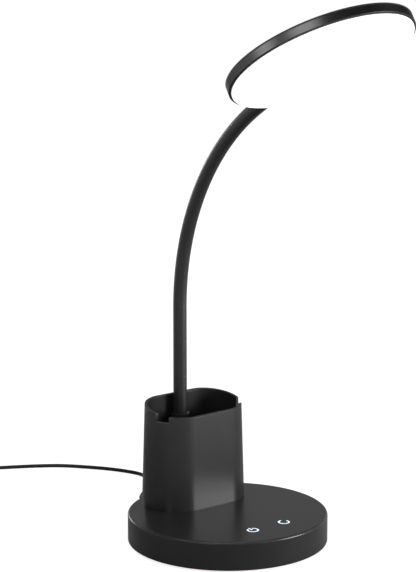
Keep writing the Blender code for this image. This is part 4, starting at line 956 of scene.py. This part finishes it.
def neck_ball(length, radius, lowest):
    """Rings of a ball round a joint, from close to its pole down to a height over the joint."""
    turns = np.linspace(quarter * NECK_POLE_SHARE, math.asin(lowest / radius), NECK_BALL_STEPS)
    return [neck_ring(length, radius * math.cos(turn), radius * math.sin(turn)) for turn in turns]


neck_sleeve = finish("neck_sleeve", SLEEVE_BLACK, roughness=0.38, level=0.26, grain=3e-6, grain_size=5e-4)
neck_bodies = ["base", *(joint["child"] for joint in neck_joints)]
neck_links = [f"neck_link_{number}" for number in range(1, len(neck_joints))]
neck_nodes = ["neck_stem", *neck_links, "neck_ferrule"]
for number, (body, node) in enumerate(zip(neck_bodies, neck_nodes)):
    first = number == 0
    last = number == len(neck_joints)
    low = NECK_FOOT_Z - neck_foot[2] if first else neck_pitch * (number - 1)
    high = low + NECK_REACH if last else neck_pitch * number
    tube_low = low if first else low + NECK_CUT
    tube_high = high if last else high - NECK_CUT
    rings = [] if first else neck_ball(low, NECK_HOLLOW_RADIUS, NECK_CUT)
    ring_gaps = math.ceil((tube_high - tube_low) / NECK_RING_STEP)
    for length in np.linspace(tube_low, tube_high, ring_gaps + 1):
        rings.append(neck_ring(length, NECK_RADIUS))
    if not last:
        rings.extend(neck_ball(high, NECK_BALL_RADIUS, -NECK_CUT)[::-1])
    sleeve = as_object(f"neck_sleeve_{number + 1}", loft(rings))
    sleeve.data.shade_smooth()
    sleeve.data.set_sharp_from_angle(angle=NECK_SHARP_EDGE)
    sleeve.data.materials.append(neck_sleeve)
    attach(sleeve, body)
    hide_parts(node)

# Steel weight
# A thick disc of blackened steel that lies between the cover's posts and keeps the lamp upright.
BLACKENED_GREY = (0.14, 0.14, 0.15)

blackened_steel = finish(
    "blackened_steel", BLACKENED_GREY, roughness=0.55, metallic=1.0, mottle=0.2, grain=8e-6, grain_size=6e-4
)
paint(blackened_steel, "weight_plate")

# Base plate
# The moulded black plate that closes the base, with a rim round the pad and a well for each screw.
PLATE_RADIUS = 0.0675
PLATE_TOP_Z = 0.0048
PLATE_FACE_Z = 0.0018
PLATE_RECESS_RADIUS = 0.0623
PLATE_FILLET = 0.0003
SCREW_WELL = (0.0040, 0.0037)
PLATE_HOLE_RADIUS = 0.0018

plate = as_object("bottom_plate", turn(rounded([
    (0, PLATE_TOP_Z, 0),
    (PLATE_RADIUS, PLATE_TOP_Z, PLATE_FILLET),
    (PLATE_RADIUS, BASE_EDGE_Z, PLATE_FILLET),
    (PLATE_RECESS_RADIUS, BASE_EDGE_Z, PLATE_FILLET),
    (PLATE_RECESS_RADIUS, PLATE_FACE_Z, 0),
    (0, PLATE_FACE_Z, 0),
], steps=4)))
for x, y in POST_PLACES:
    machine(plate, rod(SCREW_WELL[0], 0, SCREW_WELL[1], x, y))
    machine(plate, rod(PLATE_HOLE_RADIUS, 0, PLATE_TOP_Z + OVERRUN, x, y))
fit(plate, satin_black, "base", "satin_black_plastic", "base_plate")

# Base screws
# Four pan-head screws of plated steel through the plate into the cover's posts.
BASE_SCREW = (0.0030, 0.0016, 0.0015, 0.0110)
BASE_SCREW_SEAT_Z = 0.0034

for number, (x, y) in enumerate(POST_PLACES, 1):
    drive_screw(
        f"plate_screw_{number}",
        BASE_SCREW,
        Matrix.Translation((x, y, BASE_SCREW_SEAT_Z)),
        "base",
        f"base_screw_{number}",
    )

# Foot pad
# A disc of dense black foam rubber, die cut and glued under the plate, which stops the lamp sliding.
# A hole over each screw lets the base be opened without taking the pad off.
PAD_RADIUS = 0.0620
PAD_THICKNESS = 0.0015
PAD_LIP = 0.0006
PAD_HOLE_RADIUS = 0.0040
PAD_BLACK = (0.022, 0.022, 0.022)

pad_rubber = finish(
    "pad_rubber", PAD_BLACK, roughness=0.85, level=0.2, mottle=0.2, grain=4e-5, grain_size=6e-4, wear_and_highlight=0.3
)
pad = as_object("rest_pad", turn(rounded([
    (0, PAD_THICKNESS, 0),
    (PAD_RADIUS, PAD_THICKNESS, 0),
    (PAD_RADIUS, 0, PAD_LIP),
    (0, 0, 0),
])))
for x, y in POST_PLACES:
    machine(pad, rod(PAD_HOLE_RADIUS, -OVERRUN, PAD_THICKNESS + OVERRUN, x, y))
fit(pad, pad_rubber, "base", "pad_rubber", "foot_pad")

# Light head, back cover
# A flat round lid moulded in black plastic, with a coarser, duller grain than the base has.
# The half-round housing that holds the neck's end is moulded on it.
HEAD_RADIUS = 0.0634
HEAD_DROP = 0.0020
HEAD_JOINT_REACH = 0.0100
BACK_THICKNESS = 0.0012
BACK_FILLET = 0.0002
HOUSING_RADIUS = 0.0064
HOUSING_LENGTH = 0.0240
SPIGOT_RADIUS = 0.0038
SPIGOT_LENGTH = 0.0190
SPIGOT_GAP = 0.0001
NECK_SCREW = (0.0020, 0.0009, 0.0010, 0.0037)
NECK_SCREW_SEAT = 0.0035
NECK_SCREW_WELL_RADIUS = 0.0022
NECK_SCREW_YS = (0.0577, 0.0497)

head_back_side = Vector((0, math.sin(HEAD_TILT), math.cos(HEAD_TILT)))
head_outward = Vector((0, -math.cos(HEAD_TILT), math.sin(HEAD_TILT)))
head_middle = Vector(neck_joints[-1]["pos_m"]) + head_outward * (HEAD_JOINT_REACH + HEAD_RADIUS)
head_middle += head_back_side * HEAD_DROP
head_place = Matrix.Translation(head_middle) @ Matrix.Rotation(-HEAD_TILT, 4, "X")
spigot_place = head_place @ Matrix.Translation((0, 0, -HEAD_DROP)) @ Matrix.Rotation(-quarter, 4, "X")

lid = as_object("head_lid", turn(rounded([
    (0, 0, 0),
    (HEAD_RADIUS, 0, BACK_FILLET),
    (HEAD_RADIUS, -BACK_THICKNESS, 0),
    (0, -BACK_THICKNESS, 0),
])), head_place)
nose = HEAD_RADIUS - HOUSING_LENGTH
housing_end = HEAD_RADIUS - BACK_FILLET
nose_arc = arc(0, nose + HOUSING_RADIUS, HOUSING_RADIUS, -quarter, 0, 16)
housing_profile = [(0, nose), *nose_arc[1:], (HOUSING_RADIUS, housing_end), (0, housing_end)]
housing = as_object("housing", turn(housing_profile, MIDDLE_STEPS), spigot_place)
under_low = (-2 * HOUSING_RADIUS, nose - OVERRUN, -2 * HOUSING_RADIUS)
under_high = (2 * HOUSING_RADIUS, HEAD_RADIUS, -BACK_THICKNESS / 2)
machine(housing, brick(under_low, under_high), place=head_place)
joined = bmesh.new()
joined.from_mesh(housing.data)
bpy.data.objects.remove(housing, do_unlink=True)
machine(lid, joined, "UNION", spigot_place)
spigot_start = HEAD_RADIUS - SPIGOT_LENGTH
spigot_bore = rod(SPIGOT_RADIUS + SPIGOT_GAP, spigot_start - SPIGOT_GAP, HEAD_RADIUS + OVERRUN)
machine(lid, spigot_bore, place=spigot_place)
for y in NECK_SCREW_YS:
    well = rod(NECK_SCREW_WELL_RADIUS, NECK_SCREW_SEAT - SPIGOT_GAP, HOUSING_RADIUS, 0, y)
    machine(lid, well, place=head_place)
    machine(lid, rod(NECK_SCREW[2] + SPIGOT_GAP, 0, HOUSING_RADIUS, 0, y), place=head_place)
lid_black = finish(
    "lid_black", SATIN_BLACK, roughness=0.55, level=0.3, mottle=0.06, grain=6e-6, wear_and_highlight=0.3
)
fit(lid, lid_black, "head", "satin_black_plastic", "head_back")

# Neck spigot
# The plain steel end of the gooseneck inside the housing, with its nose chamfered.
# Two small screws through the housing's crown bite into it.
SPIGOT_CHAMFER = 0.0006
spigot = as_object("neck_spigot", turn([
    (0, spigot_start),
    (SPIGOT_RADIUS - SPIGOT_CHAMFER, spigot_start),
    (SPIGOT_RADIUS, spigot_start + SPIGOT_CHAMFER),
    (SPIGOT_RADIUS, HEAD_RADIUS),
    (0, HEAD_RADIUS),
], SMALL_STEPS), spigot_place)
for y in NECK_SCREW_YS:
    machine(spigot, rod(NECK_SCREW[2], -SPIGOT_RADIUS / 2, HOUSING_RADIUS, 0, y), place=head_place)
fit(spigot, plated_steel, "head", "zinc_plated_steel", "neck_ferrule")
for number, y in enumerate(NECK_SCREW_YS, 1):
    screw_place = Matrix.Translation((0, y, NECK_SCREW_SEAT)) @ Matrix.Rotation(math.pi, 4, "X")
    drive_screw(
        f"housing_screw_{number}",
        NECK_SCREW,
        head_place @ screw_place,
        "head",
        f"neck_screw_{number}",
    )

# Light board
# A round aluminium board with a white coating behind the diffuser, with rings of light chips.
LED_BOARD_WHITE = (0.84, 0.84, 0.82)

led_board_white = finish("white_led_board", LED_BOARD_WHITE, roughness=0.45, mottle=0.03)
paint(led_board_white, "led_board")

# Light head, rim
# The ring round the head, dark anodised aluminium with a fine brushing along its length.
# Its front edge has a duller bevel. A ledge inside it carries the diffuser, and its wall
# has a bore for the neck's spigot.
RIM_TOP = -0.00125
RIM_FRONT = -0.0069
RIM_WALL = 0.0011
RIM_BEVEL_BACK = -0.0063
RIM_BEVEL_WIDTH = 0.0016
RIM_FILLET = 0.0002
LEDGE_WIDTH = 0.0022
LEDGE_HEIGHT = 0.0010
DIFFUSER_BACK = -0.0061
DIFFUSER_GAP = 0.0001
RIM_METAL = (0.060, 0.060, 0.061)
RIM_EDGE_TINT = (0.4, 0.4, 0.4, 1)
BRUSH_STRETCH = 30
BRUSH_SIZE = 8e-4
BRUSH_DEPTH = 5e-5
BEVEL_ROUGHNESS = 0.60

rim_inside = HEAD_RADIUS - RIM_WALL
ledge_front = DIFFUSER_BACK + DIFFUSER_GAP
ledge_inside = rim_inside - LEDGE_WIDTH
face_opening = HEAD_RADIUS - RIM_BEVEL_WIDTH


def own_place(tree):
    """The X, Y and Z of a point on a surface, in its own object's measure."""
    return add_node(tree, "SeparateXYZ", {0: add_node(tree, "TexCoord")["Object"]})


dark_metal = finish(
    "dark_brushed_metal",
    RIM_METAL,
    roughness=0.30,
    metallic=1.0,
    grain=BRUSH_DEPTH,
    grain_size=BRUSH_SIZE,
    wear_and_highlight=0.2,
)
tree = dark_metal.node_tree
shader = tree.nodes["Principled BSDF"]
on_rim = own_place(tree)
around = reckon(tree, "ARCTAN2", on_rim["Y"], on_rim["X"])
stretched = reckon(tree, "MULTIPLY", around, HEAD_RADIUS / BRUSH_STRETCH)
along_ring = add_node(tree, "CombineXYZ", {"X": stretched, "Z": on_rim["Z"]})[0]
feed(tree, tree.nodes["fine grain"], {"Vector": along_ring})
bevel_starts = (RIM_BEVEL_BACK + RIM_FILLET / 2, 0)
on_bevel = (RIM_BEVEL_BACK - RIM_FILLET / 2, BEVEL_ROUGHNESS)
bevel = ramp(tree, on_rim["Z"], (bevel_starts, on_bevel))
satin = reckon(tree, "MAXIMUM", shader.inputs["Roughness"].links[0].from_socket, bevel)
feed(tree, shader, {"Roughness": satin, "Specular Tint": RIM_EDGE_TINT})
rim = as_object("head_ring", turn(rounded([
    (HEAD_RADIUS, RIM_TOP, 0),
    (HEAD_RADIUS, RIM_BEVEL_BACK, RIM_FILLET),
    (face_opening, RIM_FRONT, 0),
    (face_opening, ledge_front, 0),
    (ledge_inside, ledge_front, 0),
    (ledge_inside, ledge_front + LEDGE_HEIGHT, 0),
    (rim_inside, ledge_front + LEDGE_HEIGHT, 0),
    (rim_inside, RIM_TOP, 0),
], closed=True), closed=True), head_place)
machine(rim, rod(SPIGOT_RADIUS + SPIGOT_GAP, spigot_start, HEAD_RADIUS + OVERRUN), place=spigot_place)
fit(rim, dark_metal, "head", "dark_brushed_metal", "head_rim")

# Light head, diffuser
# The opal acrylic front, lit from behind, which stands a little proud of the rim.
# Its emission fades to a dim, cooler grey-cyan over its rounded edge and side: painted shade of the
# rounding.
FACE_FRONT = -0.0079
FACE_FILLET = 0.0006
FACE_LIGHT = (1.0, 1.0, 1.0, 1)
EDGE_SHADED_GLOW = (0.10, 0.18, 0.20, 1)
FACE_GLOW = 1.0
OPAL_WHITE = (0.90, 0.91, 0.92)

face_radius = face_opening - DIFFUSER_GAP / 2
diffuser = as_object("head_light_face", turn(rounded([
    (0, DIFFUSER_BACK, 0),
    (face_radius, DIFFUSER_BACK, 0),
    (face_radius, FACE_FRONT, FACE_FILLET),
    (0, FACE_FRONT, 0),
])), head_place)
opal = finish("opal_diffuser", OPAL_WHITE, roughness=0.45, mottle=0.02)
tree = opal.node_tree
# Painted shade: the glow darkens to a dim grey-cyan from the front face, over the rounded edge, to the rim.
edge_shade_share = ramp(tree, own_place(tree)["Z"], ((FACE_FRONT + FACE_FILLET / 8, 0), (RIM_FRONT, 1)))
glow_with_edge_shade = blend_colours(tree, edge_shade_share, FACE_LIGHT, EDGE_SHADED_GLOW)
feed(tree, tree.nodes["Principled BSDF"], {"Emission Color": glow_with_edge_shade, "Emission Strength": FACE_GLOW})
fit(diffuser, opal, "head", "opal_diffuser", "head_diffuser")

# Floor and room
# A plain pale table top, which runs out to white, and the white room behind it.
# Polished things mirror the table as it is lit close to the lamp and white further out, which
# starts sooner in front of the lamp than behind it, and they mirror the upper walls as grey.
FLOOR_REACH = 4.0
FLOOR_THICKNESS = 0.02
FLOOR_ROUGHNESS = 0.9
FLOOR_COLOUR = (0.52, 0.52, 0.52, 1)
FLOOR_SEEN = ((0.30, 0.82), (0.90, 1.00))
FLOOR_MIRRORED = ((0.30, 0.0), (0.80, 1.0))
MIRRORED_MIDDLE = (0.095, 0.116)
ROOM_LIGHT = 0.04
SKIRTING = ((0.00, 1.0), (0.09, 0.36))
CORNICE = ((0.54, 1.0), (0.72, 0.10))

floor_corner = (-FLOOR_REACH, -FLOOR_REACH, -FLOOR_THICKNESS)
floor = as_object("floor", brick(floor_corner, (FLOOR_REACH, FLOOR_REACH, 0)))
table_top = bpy.data.materials.new("table_top")
table_top.use_nodes = True
tree = table_top.node_tree
matt = {"Base Color": FLOOR_COLOUR, "Roughness": FLOOR_ROUGHNESS, "Specular IOR Level": 0.0}
matt_surface = feed(tree, tree.nodes["Principled BSDF"], matt)[0]
floor.data.materials.append(table_top)


def from_axis(tree, axis_x=0.0, axis_y=0.0):
    """The distance of a point on a surface from an upright axis through its own object."""
    place = add_node(tree, "TexCoord")["Object"]
    flattened = {0: place, 1: (1, 1, 0), 2: (-axis_x, -axis_y, 0)}
    outward = add_node(tree, "VectorMath", flattened, operation="MULTIPLY_ADD")["Vector"]
    return add_node(tree, "VectorMath", {0: outward}, operation="LENGTH")["Value"]


def rays(tree):
    """Whether a ray comes from the camera, and whether it comes by a mirror or through glass."""
    path = add_node(tree, "LightPath")
    mirrored = reckon(tree, "MAXIMUM", path["Is Glossy Ray"], path["Is Transmission Ray"])
    return path["Is Camera Ray"], mirrored


straight, mirrored = rays(tree)
far_seen = ramp(tree, from_axis(tree), FLOOR_SEEN, "SMOOTHSTEP")
far_mirrored = ramp(tree, from_axis(tree, *MIRRORED_MIDDLE), FLOOR_MIRRORED, "SMOOTHSTEP")
white_seen = reckon(tree, "MULTIPLY", straight, far_seen)
white_mirrored = reckon(tree, "MULTIPLY", mirrored, far_mirrored)
white = add_node(tree, "Emission", {"Strength": reckon(tree, "MAXIMUM", white_seen, white_mirrored)})[0]
both = add_node(tree, "AddShader", {0: matt_surface, 1: white})[0]
feed(tree, tree.nodes["Material Output"], {"Surface": both})

world = bpy.data.worlds.new("studio")
bpy.context.scene.world = world
world.use_nodes = True
tree = world.node_tree
upward = add_node(tree, "SeparateXYZ", {0: add_node(tree, "TexCoord")["Generated"]})["Z"]
lower, upper = (ramp(tree, upward, marks, "SMOOTHSTEP") for marks in (SKIRTING, CORNICE))
walls = reckon(tree, "MULTIPLY", lower, upper)
straight, mirrored = rays(tree)
seen = reckon(tree, "MAXIMUM", straight, reckon(tree, "MULTIPLY", mirrored, walls))
strength = reckon(tree, "MAXIMUM", seen, ROOM_LIGHT)
feed(tree, tree.nodes["Background"], {"Color": (1, 1, 1, 1), "Strength": strength})
bpy.context.scene.view_settings.view_transform = "Standard"

# Studio lights
# One large soft box overhead, a key low at the front right, weak ones low at the left and behind.
# Two small ones near the head draw the soft highlights along its rim.
# Each has what it aims at, its bearing and height in degrees, its distance, size and brightness.
LAMP_MIDDLE = Vector((0, 0, 0.15))
SOFT_BOXES = (
    ("overhead", LAMP_MIDDLE, 0, 85, 1.5, 1.20, 1.20, 1.5),
    ("key", LAMP_MIDDLE, 38, 7, 1.5, 0.56, 0.40, 35.0),
    ("left", LAMP_MIDDLE, -62, 6, 1.5, 0.30, 0.36, 5.0),
    ("back", LAMP_MIDDLE, 178, 6, 1.5, 0.52, 0.36, 5.0),
    ("rim_high", head_middle, -67, 36, 0.42, 0.26, 0.14, 5.2),
    ("rim_low", head_middle, -108, 12, 0.42, 0.17, 0.14, 5.0),
)
for name, aim, azimuth, height_angle, distance, width, height, brightness in SOFT_BOXES:
    box = bpy.data.lights.new(name, "AREA")
    box.shape = "RECTANGLE"
    box.size = width
    box.size_y = height
    box.energy = brightness * math.pi * width * height
    out = Vector((
        math.sin(math.radians(azimuth)) * math.cos(math.radians(height_angle)),
        -math.cos(math.radians(azimuth)) * math.cos(math.radians(height_angle)),
        math.sin(math.radians(height_angle)),
    ))
    stand = bpy.data.objects.new(name, box)
    stand.location = aim + out * distance
    stand.rotation_euler = (-out).to_track_quat("-Z", "Y").to_euler()
    stand.visible_camera = False
    bpy.context.scene.collection.objects.link(stand)
